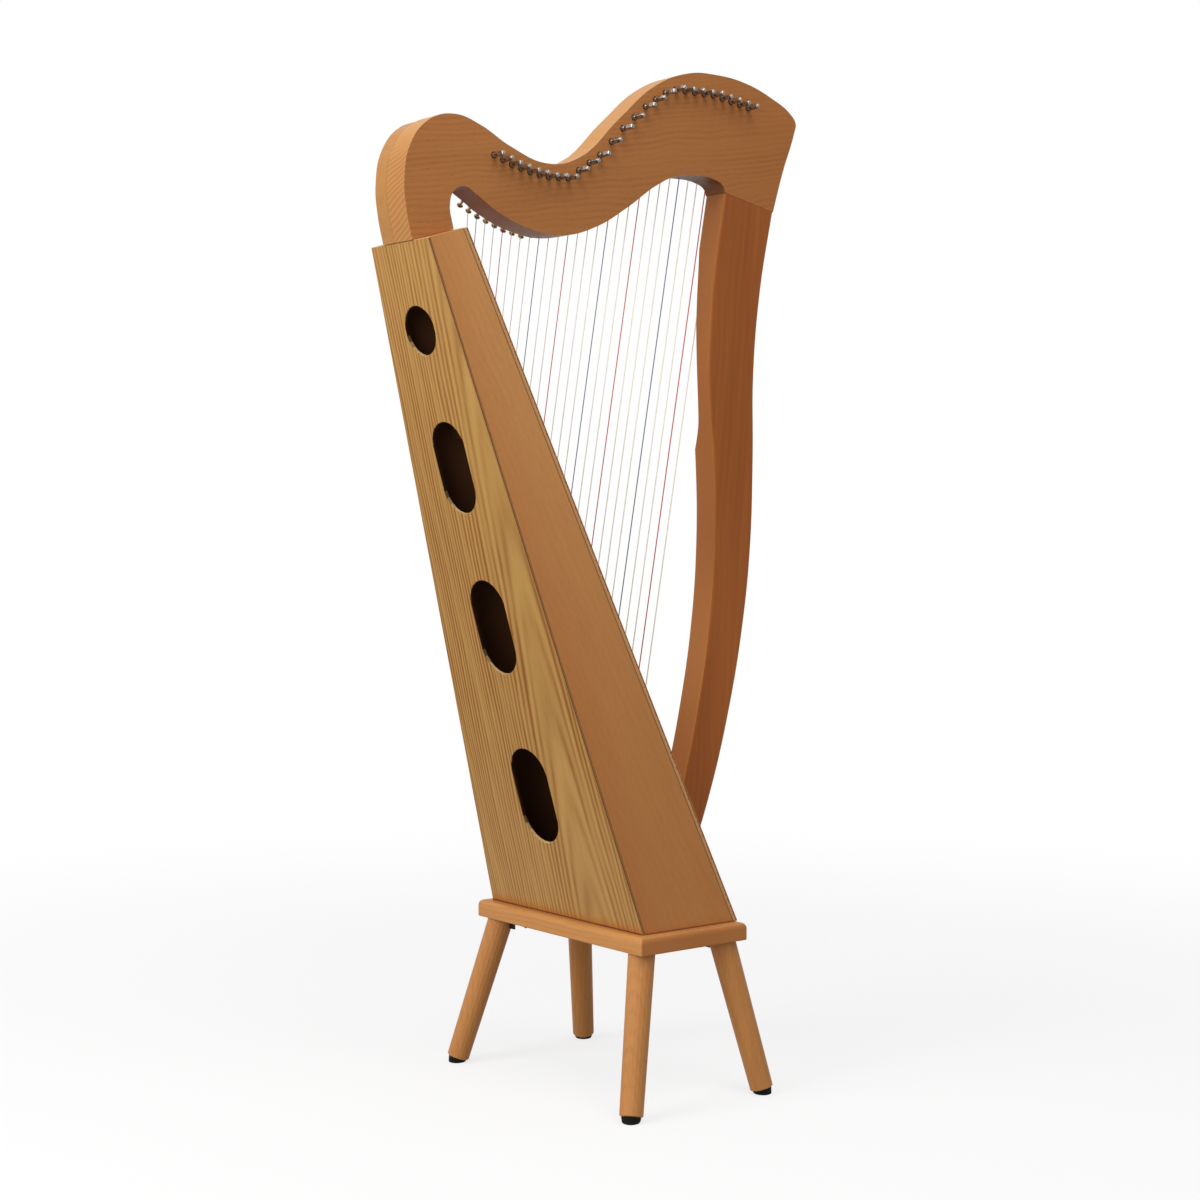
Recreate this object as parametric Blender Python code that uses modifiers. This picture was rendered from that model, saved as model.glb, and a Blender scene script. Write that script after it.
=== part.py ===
"""Floor harp with 27 strings on a four-legged stool, modelled piece by piece.

Metres, +Z up. +X runs from the sound box towards the pillar, +Y is the player's
left, where the strings leave the neck. The origin is on the floor, under the
middle of the harp.
"""

import math

import bmesh
import bpy
import numpy as np
from mathutils import Matrix, Vector

# Clearance between pieces that seat against each other
GAP = 0.0003

# How far a cutter reaches past the piece that it trims
FAR = 0.6

# Stool
SEAT_LENGTH = 0.310
SEAT_DEPTH = 0.154
SEAT_THICKNESS = 0.020
SEAT_TOP = 0.195
SEAT_X = 0.0146
SEAT_EDGE_RADIUS = 0.006
LEG_TOP_RADIUS = 0.0152
LEG_FOOT_RADIUS = 0.0132
LEG_CHAMFER = 0.001
LEG_TOP_HEIGHT = 0.172
LEG_TOP_SPREAD = (0.059, 0.133)
LEG_FOOT_SPREAD = (0.095, 0.165)
LEG_FOOT_SHIFT = -0.0045
LEG_TRIM = 0.008
FOOT_HEIGHT = 0.0065
FOOT_TOP_RADIUS = 0.0112
FOOT_END_RADIUS = 0.0086
FOOT_LENGTH = 0.012
FOOT_ROUNDING = 0.0018

# Leg mounts: each part's nearer and farther side from the leg's axis at the seat,
# towards the seat's middle along X and along Y, and how far it hangs down
FLANGE_REACH = ((-0.0050, 0.0110), (0.0175, 0.0520))
FLANGE_THICKNESS = 0.002
STAY_REACH = ((0.0015, 0.0035), (0.0158, 0.0233))
STAY_DROP = 0.0119

# Sound box, measured on its outside
BOX_REAR_BOTTOM_X = -0.0502
BOX_REAR_LEAN = math.radians(16.45)
BOX_FRONT_BOTTOM_X = 0.0893
BOX_FRONT_LEAN = math.radians(21.90)
BOX_BOTTOM_HALF_WIDTH = 0.1419
BOX_TOP_HALF_WIDTH = 0.0551
BOX_BACK_LENGTH = 0.782
BACK_THICKNESS = 0.004
BACK_TRIM = 0.004
SOUNDBOARD_THICKNESS = 0.0065
SIDE_THICKNESS = 0.008
TOP_BLOCK_HEIGHT = 0.045
BOTTOM_BLOCK_HEIGHT = 0.018
EDGE_ROUNDING = 0.0008
RIB_DEPTH = 0.006
INNER_RIB_HALF_WIDTH = 0.012
BRACE_DEPTH = 0.012
BRACES = (("brace_lower", 0.40), ("brace_middle", 0.57), ("brace_upper", 0.74))

# Sound holes: distance up the back panel, width, length
SOUND_HOLES = (
    (0.1484, 0.066, 0.114),
    (0.3488, 0.064, 0.110),
    (0.5323, 0.060, 0.104),
    (0.6855, 0.055, 0.055),
)

# Neck and pillar
NECK_THICKNESS = 0.035
NECK_RIGHT_Y = -0.0285
NECK_LEFT_Y = NECK_RIGHT_Y + NECK_THICKNESS
SHOULDER_BLOCK_THICKNESS = 0.022
NECK_EDGE_RADIUS = 0.0025
SHOULDER_FRONT_X = -0.205
BOARD_EDGE_ANGLE = 35
BOX_TRIM_TOP = 0.5
JOINT_INNER = (0.1680, 1.0363)
JOINT_OUTER = (0.2448, 1.0201)
DOWEL_RADIUS = 0.005
DOWEL_LENGTH = 0.050
DOWEL_SHARES = (("dowel_inner", 0.32), ("dowel_outer", 0.68))

# Strings
STRING_COUNT = 27
BRIDGE_PIN_COUNT = 28
MIDDLE_STRING = 15
STRING_LEAN = 0.1970
CROSSING_HEIGHT = 0.85
CROSSING_MIDDLE_X = -0.0299
CROSSING_HALF_SPAN = 0.1743
CROSSING_SPREAD = 0.0067
STRING_PLANE_Y = NECK_LEFT_Y + 0.008
RIB_THICKNESS = 0.004
RIB_FOOT_Z = 0.262
RIB_TOP_DROP = 0.012
RIB_FOOT_HALF_WIDTH = 0.0151
RIB_SLOPE = -0.00714
TREBLE_STRING_RADIUS = 0.00040
BASS_STRING_RADIUS = 0.00070
BRIDGE_PIN_TILT = math.radians(33)
BRIDGE_SHAFT_RADIUS = 0.0018
BRIDGE_HEAD_RADIUS = 0.0034
BRIDGE_GROOVE_RADIUS = 0.0013
BRIDGE_PIN_DEPTH = 0.010
BRIDGE_GROOVE_LENGTH = 0.0014
BRIDGE_HEAD_LENGTH = 0.0028

# Heights of the bridge pins' grooves, by the number of the pin from the treble
BRIDGE_ROW = (
    (1, 0.9965),
    (3, 0.9860),
    (6, 0.9740),
    (8, 0.9695),
    (10, 0.9735),
    (12, 0.9850),
    (16, 1.0300),
    (20, 1.0700),
    (24, 1.0850),
    (28, 1.0850),
)

# Tuning pins: the row's course in X and Z, by the number of the pin from the treble
PIN_ROW = (
    (1, -0.1669, 1.0453),
    (3, -0.1434, 1.0373),
    (5, -0.1185, 1.0318),
    (7, -0.0933, 1.0290),
    (9, -0.0660, 1.0303),
    (12, -0.0209, 1.0606),
    (14, 0.0124, 1.0943),
    (16, 0.0455, 1.1228),
    (18, 0.0752, 1.1420),
    (19, 0.0906, 1.1475),
    (23, 0.1486, 1.1482),
    (27, 0.2035, 1.1398),
)
PIN_RADIUS = 0.0031
PIN_HEAD_LENGTH = 0.019
PIN_TAIL_LENGTH = 0.0145
PIN_COLLAR_LENGTH = 0.0045
PIN_COIL_START = 0.0036
PIN_BORE_RADIUS = 0.00321
PIN_SIDES = 8
PIN_TURNS = 3
PIN_HEAD_TIP = 0.0024
PIN_HEAD_FOOT = 0.0028
PIN_CHAMFER = 0.0006
PIN_CORNER = 1.3

REAR_SLOPE = -math.tan(BOX_REAR_LEAN)
FRONT_SLOPE = -math.tan(BOX_FRONT_LEAN)
BACK_HEIGHT = BOX_BACK_LENGTH * math.cos(BOX_REAR_LEAN)
WIDTH_SLOPE = (BOX_TOP_HALF_WIDTH - BOX_BOTTOM_HALF_WIDTH) / BACK_HEIGHT
SIDE_TILT = math.atan(-WIDTH_SLOPE)


def clear_scene():
    """Start from nothing, whatever the scene held."""
    for item in list(bpy.data.objects):
        bpy.data.objects.remove(item, do_unlink=True)


def collection(name):
    """A new collection in the scene."""
    group = bpy.data.collections.new(name)
    bpy.context.scene.collection.children.link(group)
    return group


def finish(name, colour, roughness, metallic=0.0):
    """A plain material, with its colour in linear light."""
    material = bpy.data.materials.new(name)
    material.use_nodes = True
    shader = material.node_tree.nodes["Principled BSDF"]
    shader.inputs["Base Color"].default_value = (*colour, 1.0)
    shader.inputs["Roughness"].default_value = roughness
    shader.inputs["Metallic"].default_value = metallic
    return material


clear_scene()
HARP = collection("harp")
CUTTERS = collection("cutters")
BEECH = finish("beech", (0.50, 0.24, 0.10), 0.42)
BEECH_LIGHT = finish("light_beech", (0.60, 0.33, 0.14), 0.42)
ASH = finish("ash_veneer", (0.54, 0.34, 0.13), 0.45)
PLY = finish("birch_ply", (0.60, 0.42, 0.22), 0.55)
BRASS = finish("brass", (0.62, 0.42, 0.16), 0.3, 1.0)
NICKEL = finish("nickel", (0.62, 0.60, 0.57), 0.25, 1.0)
STEEL = finish("black_steel", (0.03, 0.032, 0.034), 0.45, 0.7)
RUBBER = finish("rubber", (0.018, 0.019, 0.018), 0.8)
NYLON = finish("nylon", (0.80, 0.76, 0.68), 0.35)


def add(name, mesh, material, smooth_angle=None):
    """Put a mesh in the harp's collection as one named piece."""
    item = bpy.data.objects.new(name, mesh)
    HARP.objects.link(item)
    mesh.materials.clear()
    mesh.materials.append(material)
    if smooth_angle is not None:
        mesh.shade_smooth()
        mesh.set_sharp_from_angle(angle=math.radians(smooth_angle))
    return item


def mesh_from(bm, name):
    """Keep a bmesh as a mesh, with its faces turned outwards, and free it."""
    bmesh.ops.recalc_face_normals(bm, faces=bm.faces)
    mesh = bpy.data.meshes.new(name)
    bm.to_mesh(mesh)
    bm.free()
    return mesh


def apply_modifiers(item):
    """Keep what the modifiers make, so that the piece can be cut or joined."""
    bpy.context.view_layer.update()
    graph = bpy.context.evaluated_depsgraph_get()
    mesh = bpy.data.meshes.new_from_object(item.evaluated_get(graph))
    item.modifiers.clear()
    item.data = mesh
    return item


def round_edges(item, width, segments=2, angle=30):
    """Round every edge that is sharper than an angle in degrees."""
    bevel = item.modifiers.new("rounding", "BEVEL")
    bevel.width = width
    bevel.segments = segments
    bevel.limit_method = "ANGLE"
    bevel.angle_limit = math.radians(angle)
    bevel.use_clamp_overlap = True
    return apply_modifiers(item)


def rim_edges(mesh):
    """The edges where a flat side of a board meets its cut outline."""
    bm = bmesh.new()
    bm.from_mesh(mesh)
    found = set()
    for edge in bm.edges:
        flat = [abs(face.normal.y) > 0.9 for face in edge.link_faces]
        if any(flat) and not all(flat):
            found.add(edge.index)
    bm.free()
    return found


def round_by_weight(item, width, segments, weight_of):
    """Round each edge by a share of a width, which weight_of gives for the edge and its ends."""
    mesh = item.data
    weight = mesh.attributes.new("bevel_weight_edge", "FLOAT", "EDGE")
    for edge in mesh.edges:
        near, far = (mesh.vertices[index].co for index in edge.vertices)
        weight.data[edge.index].value = weight_of(edge, near, far)
    bevel = item.modifiers.new("rounding", "BEVEL")
    bevel.width = width
    bevel.segments = segments
    bevel.limit_method = "WEIGHT"
    return apply_modifiers(item)


def round_free_edges(board, width, is_glued):
    """Round the long edges of a board, but not those where it is glued to another.

    is_glued takes the two ends of an edge of the outline and tells whether the
    next board meets this one there.
    """
    sharp = rim_edges(board.data)

    def weight_of(edge, near, far):
        is_free = edge.index in sharp and not is_glued(near, far)
        return 1.0 if is_free else 0.0

    return round_by_weight(board, width, 2, weight_of)


def as_cutter(item):
    """Move a solid to the cutters, which don't render."""
    for group in list(item.users_collection):
        group.objects.unlink(item)
    CUTTERS.objects.link(item)
    item.hide_render = True
    item.display_type = "WIRE"
    return item


def boolean(item, other, operation):
    """Cut, trim or join with the other solid, then drop that solid."""
    step = item.modifiers.new("solid", "BOOLEAN")
    step.operation = operation
    step.solver = "EXACT"
    step.object = other
    apply_modifiers(item)
    bpy.data.objects.remove(other, do_unlink=True)
    return item


def flat_outline(name, splines, thickness, material, resolution=6):
    """Extrude closed outlines, given as Bezier or straight points in X and Y."""
    curve = bpy.data.curves.new(name, "CURVE")
    curve.dimensions = "2D"
    curve.fill_mode = "BOTH"
    curve.extrude = thickness / 2
    curve.resolution_u = resolution
    for kind, points in splines:
        spline = curve.splines.new(kind)
        spline.use_cyclic_u = True
        if kind == "POLY":
            spline.points.add(len(points) - 1)
            for knot, point in zip(spline.points, points):
                knot.co = (point[0], point[1], 0.0, 1.0)
        else:
            spline.bezier_points.add(len(points) - 1)
            for knot, point in zip(spline.bezier_points, points):
                knot.co = (point[0], point[1], 0.0)
                style = point[2] if len(point) > 2 else "AUTO"
                knot.handle_left_type = style
                knot.handle_right_type = style
    item = bpy.data.objects.new(name, curve)
    HARP.objects.link(item)
    bpy.context.view_layer.update()
    graph = bpy.context.evaluated_depsgraph_get()
    mesh = bpy.data.meshes.new_from_object(item.evaluated_get(graph))
    bpy.data.objects.remove(item, do_unlink=True)
    bm = bmesh.new()
    bm.from_mesh(mesh)
    bmesh.ops.remove_doubles(bm, verts=bm.verts, dist=0.00001)
    return add(name, mesh_from(bm, name), material)


def place(item, matrix):
    """Stand a piece made in its own plane where it belongs."""
    item.data.transform(matrix)
    item.data.update()
    return item


UPRIGHT = Matrix(((1, 0, 0, 0), (0, 0, -1, 0), (0, 1, 0, 0), (0, 0, 0, 1)))


def upright_outline(name, points, y_low, y_high, material, kind="BEZIER", resolution=6):
    """A board cut to an outline in X and Z, between two values of Y."""
    board = flat_outline(name, [(kind, points)], y_high - y_low, material, resolution)
    middle = (y_low + y_high) / 2
    return place(board, Matrix.Translation((0.0, middle, 0.0)) @ UPRIGHT)


def slab(name, rear, front, right, left, bottom, top, material):
    """A board with six flat sides, each a (value, slope) pair.

    The rear and front are X over Z, right and left are Y over Z, and bottom and
    top are Z over X.
    """
    bm = bmesh.new()
    bmesh.ops.create_cube(bm, size=2.0)
    for vert in bm.verts:
        x_side = front if vert.co.x > 0 else rear
        y_side = left if vert.co.y > 0 else right
        z_side = top if vert.co.z > 0 else bottom
        z = (z_side[0] + z_side[1] * x_side[0]) / (1 - z_side[1] * x_side[1])
        vert.co = (x_side[0] + x_side[1] * z, y_side[0] + y_side[1] * z, z)
    return add(name, mesh_from(bm, name), material)


def rear_plane(depth):
    """The back of the box, moved inwards by a depth square to it."""
    offset = depth / math.cos(BOX_REAR_LEAN)
    return (BOX_REAR_BOTTOM_X - REAR_SLOPE * SEAT_TOP + offset, REAR_SLOPE)


def front_plane(depth):
    """The face of the soundboard, moved inwards by a depth square to it."""
    offset = depth / math.cos(BOX_FRONT_LEAN)
    return (BOX_FRONT_BOTTOM_X - FRONT_SLOPE * SEAT_TOP - offset, FRONT_SLOPE)


def side_plane(depth, sign):
    """The left (+1) or right (-1) side of the box, moved inwards."""
    offset = depth / math.cos(SIDE_TILT)
    value = BOX_BOTTOM_HALF_WIDTH - WIDTH_SLOPE * SEAT_TOP - offset
    return (sign * value, sign * WIDTH_SLOPE)


def top_plane(depth):
    """The top of the box is cut square to the back panel."""
    x_corner = BOX_REAR_BOTTOM_X + REAR_SLOPE * BACK_HEIGHT
    slope = math.tan(BOX_REAR_LEAN)
    height = SEAT_TOP + BACK_HEIGHT - depth / math.cos(BOX_REAR_LEAN)
    return (height - slope * x_corner, slope)


def level_plane(height):
    """A level top or bottom."""
    return (height, 0.0)


def stadium(width, length, centre, steps=24):
    """Points round a slot with half-round ends, or a circle."""
    radius = width / 2
    straight = length / 2 - radius
    points = []
    for step in range(steps):
        angle = math.tau * (step + 0.5) / steps
        shift = straight if math.sin(angle) > 0 else -straight
        points.append((radius * math.cos(angle), centre + shift + radius * math.sin(angle)))
    return points


def lathe(name, profile, material, sides=16, smooth_angle=40):
    """Turn (radius, height) pairs about Z into one closed solid."""
    bm = bmesh.new()
    rings = []
    for radius, height in profile:
        ring = []
        for side in range(sides):
            angle = math.tau * side / sides
            ring.append(bm.verts.new((radius * math.cos(angle), radius * math.sin(angle), height)))
        rings.append(ring)
    for low, high in zip(rings, rings[1:]):
        for side in range(sides):
            after = (side + 1) % sides
            bm.faces.new((low[side], low[after], high[after], high[side]))
    bm.faces.new(list(reversed(rings[0])))
    bm.faces.new(rings[-1])
    return add(name, mesh_from(bm, name), material, smooth_angle)


def join(name, items):
    """Put several solids that stay apart into one mesh."""
    bm = bmesh.new()
    for item in items:
        bm.from_mesh(item.data)
        bpy.data.objects.remove(item, do_unlink=True)
    mesh = bpy.data.meshes.new(name)
    bm.to_mesh(mesh)
    bm.free()
    return add(name, mesh, NYLON)


def aim(start, end):
    """A matrix that takes +Z from the start point to the end point."""
    direction = (Vector(end) - Vector(start)).normalized()
    turn = direction.to_track_quat("Z", "Y").to_matrix().to_4x4()
    return Matrix.Translation(Vector(start)) @ turn


# Neck outline in X and Z, from the box's rear corner round the top to the nose
NECK_OUTLINE = (
    (-0.2700, 0.9330, "VECTOR"),
    (-0.2733, 0.9470),
    (-0.2798, 0.9760),
    (-0.2824, 1.0080),
    (-0.2745, 1.0461),
    (-0.2506, 1.0742),
    (-0.2180, 1.0837),
    (-0.1850, 1.0760),
    (-0.1451, 1.0572),
    (-0.0950, 1.0436),
    (-0.0502, 1.0544),
    (0.0074, 1.1047),
    (0.0600, 1.1480),
    (0.1110, 1.1690),
    (0.1530, 1.1726),
    (0.1994, 1.1687),
    (0.2420, 1.1560),
    (0.2740, 1.1400),
    (0.2820, 1.1300),
    (0.2800, 1.1200),
    (0.2602, 1.0680),
    (*JOINT_OUTER, "VECTOR"),
    (*JOINT_INNER, "VECTOR"),
    (0.1646, 1.0440),
    (0.1500, 1.0503),
    (0.1250, 1.0523),
    (0.0950, 1.0490),
    (0.0650, 1.0360),
    (0.0180, 1.0045),
    (-0.0250, 0.9800),
    (-0.0720, 0.9664),
    (-0.1200, 0.9700),
    (-0.1650, 0.9860),
    (-0.1920, 1.0020),
    (-0.2060, 1.0080),
    (-0.2190, 1.0020),
    (-0.2246, 0.9870),
    (-0.2205, 0.9630),
    (-0.2170, 0.9490, "VECTOR"),
)

# Extra board on the left of the shoulder, from the rear corner round the top
SHOULDER_OUTLINE = (
    (-0.2700, 0.9330, "VECTOR"),
    (-0.2733, 0.9470),
    (-0.2798, 0.9760),
    (-0.2824, 1.0080),
    (-0.2745, 1.0461),
    (-0.2506, 1.0742),
    (-0.2180, 1.0837, "VECTOR"),
    (-0.2080, 1.0560),
    (-0.2170, 1.0180),
    (-0.2246, 0.9870),
    (-0.2205, 0.9630),
    (-0.2170, 0.9490, "VECTOR"),
)

# Pillar outline in X and Z, down its front and back up its inner edge
PILLAR_OUTLINE = (
    (JOINT_OUTER[0], JOINT_OUTER[1] - GAP, "VECTOR"),
    (0.2254, 0.9250),
    (0.2149, 0.8250),
    (0.2144, 0.7250),
    (0.2106, 0.6200),
    (0.1994, 0.5292),
    (0.1766, 0.4221),
    (0.1440, 0.3161),
    (0.0990, 0.2100),
    (0.0700, 0.1500, "VECTOR"),
    (0.0400, 0.1500, "VECTOR"),
    (0.0750, 0.2400),
    (0.1049, 0.3400),
    (0.1275, 0.4300),
    (0.1438, 0.5200),
    (0.1524, 0.6200),
    (0.1511, 0.7200),
    (0.1458, 0.7791),
    (0.1427, 0.8300),
    (0.1459, 0.8850),
    (0.1502, 0.9350),
    (0.1588, 0.9850),
    (JOINT_INNER[0], JOINT_INNER[1] - GAP, "VECTOR"),
)

# Relief of the pillar's rear left arris, for the last strings: X of the cut on the
# left face by height, with the cut at 45 degrees, then its outer side
PILLAR_RELIEF = (
    (0.1582, 0.9850, "VECTOR"),
    (0.1574, 0.9500),
    (0.1554, 0.9100),
    (0.1546, 0.8800),
    (0.1555, 0.8500),
    (0.1570, 0.8150),
    (0.1584, 0.7800),
    (0.1584, 0.7640),
    (0.1570, 0.7540),
    (0.1545, 0.7430),
    (0.1517, 0.7330),
    (0.1490, 0.7240, "VECTOR"),
    (0.1300, 0.7240, "VECTOR"),
    (0.1300, 0.9850, "VECTOR"),
)
RELIEF_SPAN = (0.07, 0.14)


def string_line(number):
    """X where a string crosses one level, and its lean, X over Z."""
    along = (number - MIDDLE_STRING) / (BRIDGE_PIN_COUNT - MIDDLE_STRING)
    crossing = CROSSING_MIDDLE_X + CROSSING_HALF_SPAN * along + CROSSING_SPREAD * along * along
    return crossing, STRING_LEAN


def bridge_point(number):
    """Where a string passes the groove of its bridge pin."""
    numbers = [place[0] for place in BRIDGE_ROW]
    heights = [place[1] for place in BRIDGE_ROW]
    height = float(np.interp(number, numbers, heights))
    crossing, lean = string_line(number)
    return Vector((crossing + lean * (height - CROSSING_HEIGHT), STRING_PLANE_Y, height))


def soundboard_point(number, depth=0.0):
    """Where a string's own line meets the soundboard's middle, moved by a depth."""
    crossing, lean = string_line(number)
    value, slope = front_plane(depth)
    height = (value - crossing + lean * CROSSING_HEIGHT) / (lean - slope)
    return Vector((value + slope * height, 0.0, height))


def tuning_pin_point(number):
    """Centre of a tuning pin, on the axis that it turns about."""
    numbers = [place[0] for place in PIN_ROW]
    x = np.interp(number, numbers, [place[1] for place in PIN_ROW])
    z = np.interp(number, numbers, [place[2] for place in PIN_ROW])
    return Vector((x, 0.0, z))


def in_joint(near, far):
    """Whether an edge lies in the joint of neck and pillar."""
    middle = (near + far) / 2
    share = (middle.x - JOINT_INNER[0]) / (JOINT_OUTER[0] - JOINT_INNER[0])
    height = JOINT_INNER[1] + share * (JOINT_OUTER[1] - JOINT_INNER[1])
    return 0.01 < share < 0.99 and abs(middle.z - height) < 0.002


def at_shoulder(near, far):
    """Whether an edge lies in the joint of neck and shoulder block."""
    return max(near.x, far.x) < SHOULDER_FRONT_X and abs(near.y - NECK_LEFT_Y) < 0.001


def trim_foot(board):
    """Cut the foot of a board to the sloping top of the box."""
    trim = slab("foot_trim", (-FAR, 0.0), (SHOULDER_FRONT_X, 0.0), (-FAR, 0.0), (FAR, 0.0),
                level_plane(0.0), top_plane(-GAP), BEECH)
    boolean(board, as_cutter(trim), "DIFFERENCE")
    board.data.shade_smooth()
    board.data.set_sharp_from_angle(angle=math.radians(BOARD_EDGE_ANGLE))
    return board


def make_neck():
    """The curved board, bored for its tuning pins and bridge pins."""
    neck = upright_outline("neck", NECK_OUTLINE, NECK_RIGHT_Y, NECK_LEFT_Y, BEECH)
    round_free_edges(neck, NECK_EDGE_RADIUS,
                     lambda near, far: in_joint(near, far) or at_shoulder(near, far))
    bores = []
    for number in range(1, STRING_COUNT + 1):
        centre = tuning_pin_point(number)
        bore = lathe("bore", ((PIN_BORE_RADIUS, -0.04), (PIN_BORE_RADIUS, 0.04)), BEECH, 16)
        bores.append(place(bore, aim(centre, centre + Vector((0.0, 1.0, 0.0)))))
    for number in range(1, BRIDGE_PIN_COUNT + 1):
        radius = BRIDGE_SHAFT_RADIUS + GAP
        depth = BRIDGE_PIN_DEPTH + GAP
        bore = lathe("bore", ((radius, -depth), (radius, 0.006)), BEECH, 8)
        bores.append(place(bore, bridge_matrix(number)))
    boolean(neck, as_cutter(join("bores", bores)), "DIFFERENCE")
    return trim_foot(neck)


def make_shoulder_block():
    """The extra board that thickens the shoulder on its left."""
    block = upright_outline("shoulder_block", SHOULDER_OUTLINE, NECK_LEFT_Y + GAP,
                            NECK_LEFT_Y + SHOULDER_BLOCK_THICKNESS, BEECH_LIGHT)
    round_free_edges(block, NECK_EDGE_RADIUS, at_shoulder)
    return trim_foot(block)


def trim_level(item, low, high):
    """Cut off what lies between two heights."""
    trim = slab("level_trim", (-FAR, 0.0), (FAR, 0.0), (-FAR, 0.0), (FAR, 0.0),
                level_plane(low), level_plane(high), BEECH)
    return boolean(item, as_cutter(trim), "DIFFERENCE")


def trim_to_seat(board):
    """Cut a board off where it stands on the stool's seat."""
    return trim_level(board, 0.0, SEAT_TOP + GAP)


def make_pillar():
    """The front column, scribed to the soundboard, relieved for the strings and standing on the seat."""
    pillar = upright_outline("pillar", PILLAR_OUTLINE, NECK_RIGHT_Y, NECK_LEFT_Y, BEECH)
    round_free_edges(pillar, NECK_EDGE_RADIUS, in_joint)
    course = [(point[0] / math.sqrt(2), *point[1:]) for point in PILLAR_RELIEF]
    relief = upright_outline("relief", course, *RELIEF_SPAN, BEECH)
    place(relief, Matrix.Translation((0.0, NECK_LEFT_Y, 0.0)) @ Matrix.Rotation(math.radians(-45), 4, "Z"))
    boolean(pillar, as_cutter(relief), "DIFFERENCE")
    box_side = slab("box_trim", (-FAR, 0.0), front_plane(-GAP), (-FAR, 0.0), (FAR, 0.0),
                    level_plane(0.0), level_plane(BOX_TRIM_TOP), BEECH)
    boolean(pillar, as_cutter(box_side), "DIFFERENCE")
    trim_to_seat(pillar)
    pillar.data.shade_smooth()
    pillar.data.set_sharp_from_angle(angle=math.radians(BOARD_EDGE_ANGLE))
    return pillar


def make_sound_box():
    """Four boards round a hollow, closed by a block at each end."""
    half_bottom = BOX_BOTTOM_HALF_WIDTH
    half_top = BOX_TOP_HALF_WIDTH
    length = BOX_BACK_LENGTH
    outline = (
        (-half_bottom, -BACK_TRIM),
        (half_bottom, -BACK_TRIM),
        (half_top, length),
        (-half_top, length),
    )
    holes = [("POLY", stadium(width, span, centre)) for centre, width, span in SOUND_HOLES]
    back = flat_outline("back_panel", [("POLY", outline)] + holes, BACK_THICKNESS, ASH)
    round_edges(back, EDGE_ROUNDING, 1)
    up = Vector((REAR_SLOPE, 0.0, 1.0)).normalized()
    across = Vector((0.0, 1.0, 0.0))
    inward = across.cross(up)
    frame = Matrix((across, up, -inward if inward.x < 0 else inward)).transposed().to_4x4()
    normal = Vector(frame.col[2][:3])
    origin = Vector((BOX_REAR_BOTTOM_X, 0.0, SEAT_TOP)) + normal * (BACK_THICKNESS / 2)
    place(back, Matrix.Translation(origin) @ frame)
    if frame.determinant() < 0:
        back.data.flip_normals()
    trim_to_seat(back)
    back.data.shade_smooth()
    back.data.set_sharp_from_angle(angle=math.radians(25))

    low = level_plane(SEAT_TOP + GAP)
    high = top_plane(0.0)
    inside_back = BACK_THICKNESS + GAP
    inside_front = SOUNDBOARD_THICKNESS + GAP
    inside_side = SIDE_THICKNESS + GAP
    for name, sign in (("side_right", -1), ("side_left", 1)):
        outer = side_plane(0.0, sign)
        inner = side_plane(SIDE_THICKNESS, sign)
        right, left = (outer, inner) if sign < 0 else (inner, outer)
        side = slab(name, rear_plane(inside_back), front_plane(inside_front), right, left, low, high, BEECH)
        round_edges(side, EDGE_ROUNDING / 2, 1)
    board = slab("soundboard", front_plane(SOUNDBOARD_THICKNESS), front_plane(0.0),
                 side_plane(0.0, -1), side_plane(0.0, 1), low, high, PLY)
    round_edges(board, EDGE_ROUNDING, 1)
    slab("top_block", rear_plane(inside_back), front_plane(inside_front), side_plane(inside_side, -1),
         side_plane(inside_side, 1), top_plane(TOP_BLOCK_HEIGHT), high, BEECH_LIGHT)
    slab("bottom_block", rear_plane(inside_back), front_plane(inside_front), side_plane(inside_side, -1),
         side_plane(inside_side, 1), low, level_plane(SEAT_TOP + BOTTOM_BLOCK_HEIGHT), BEECH_LIGHT)

    slab("inner_string_rib", front_plane(inside_front + RIB_DEPTH), front_plane(inside_front),
         (-INNER_RIB_HALF_WIDTH, 0.0), (INNER_RIB_HALF_WIDTH, 0.0),
         level_plane(SEAT_TOP + BOTTOM_BLOCK_HEIGHT + GAP), top_plane(TOP_BLOCK_HEIGHT + GAP), BEECH_LIGHT)
    start = inside_front + RIB_DEPTH + GAP
    for name, height in BRACES:
        slab(name, front_plane(start + BRACE_DEPTH), front_plane(start), side_plane(inside_side, -1),
             side_plane(inside_side, 1), level_plane(height), level_plane(height + BRACE_DEPTH), BEECH_LIGHT)


def mount_span(centre, sign, reach):
    """The lower and the higher side of a part of a mount, from its reach towards the seat's middle."""
    sides = [centre - sign * distance for distance in reach]
    return (min(sides), 0.0), (max(sides), 0.0)


def make_seat():
    """The plate of the stool, with its upper edges well rounded."""
    bpy.ops.mesh.primitive_cube_add(size=1.0)
    cube = bpy.context.object
    mesh = cube.data
    bpy.data.objects.remove(cube, do_unlink=True)
    mesh.transform(Matrix.Diagonal((SEAT_DEPTH, SEAT_LENGTH, SEAT_THICKNESS, 1.0)))
    mesh.transform(Matrix.Translation((SEAT_X, 0.0, SEAT_TOP - SEAT_THICKNESS / 2)))
    seat = add("stool_seat", mesh, BEECH_LIGHT)
    round_by_weight(seat, SEAT_EDGE_RADIUS, 4,
                    lambda edge, near, far: 1.0 if min(near.z, far.z) > SEAT_TOP - GAP else 0.25)
    seat.data.shade_smooth()
    seat.data.set_sharp_from_angle(angle=math.radians(30))


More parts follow.
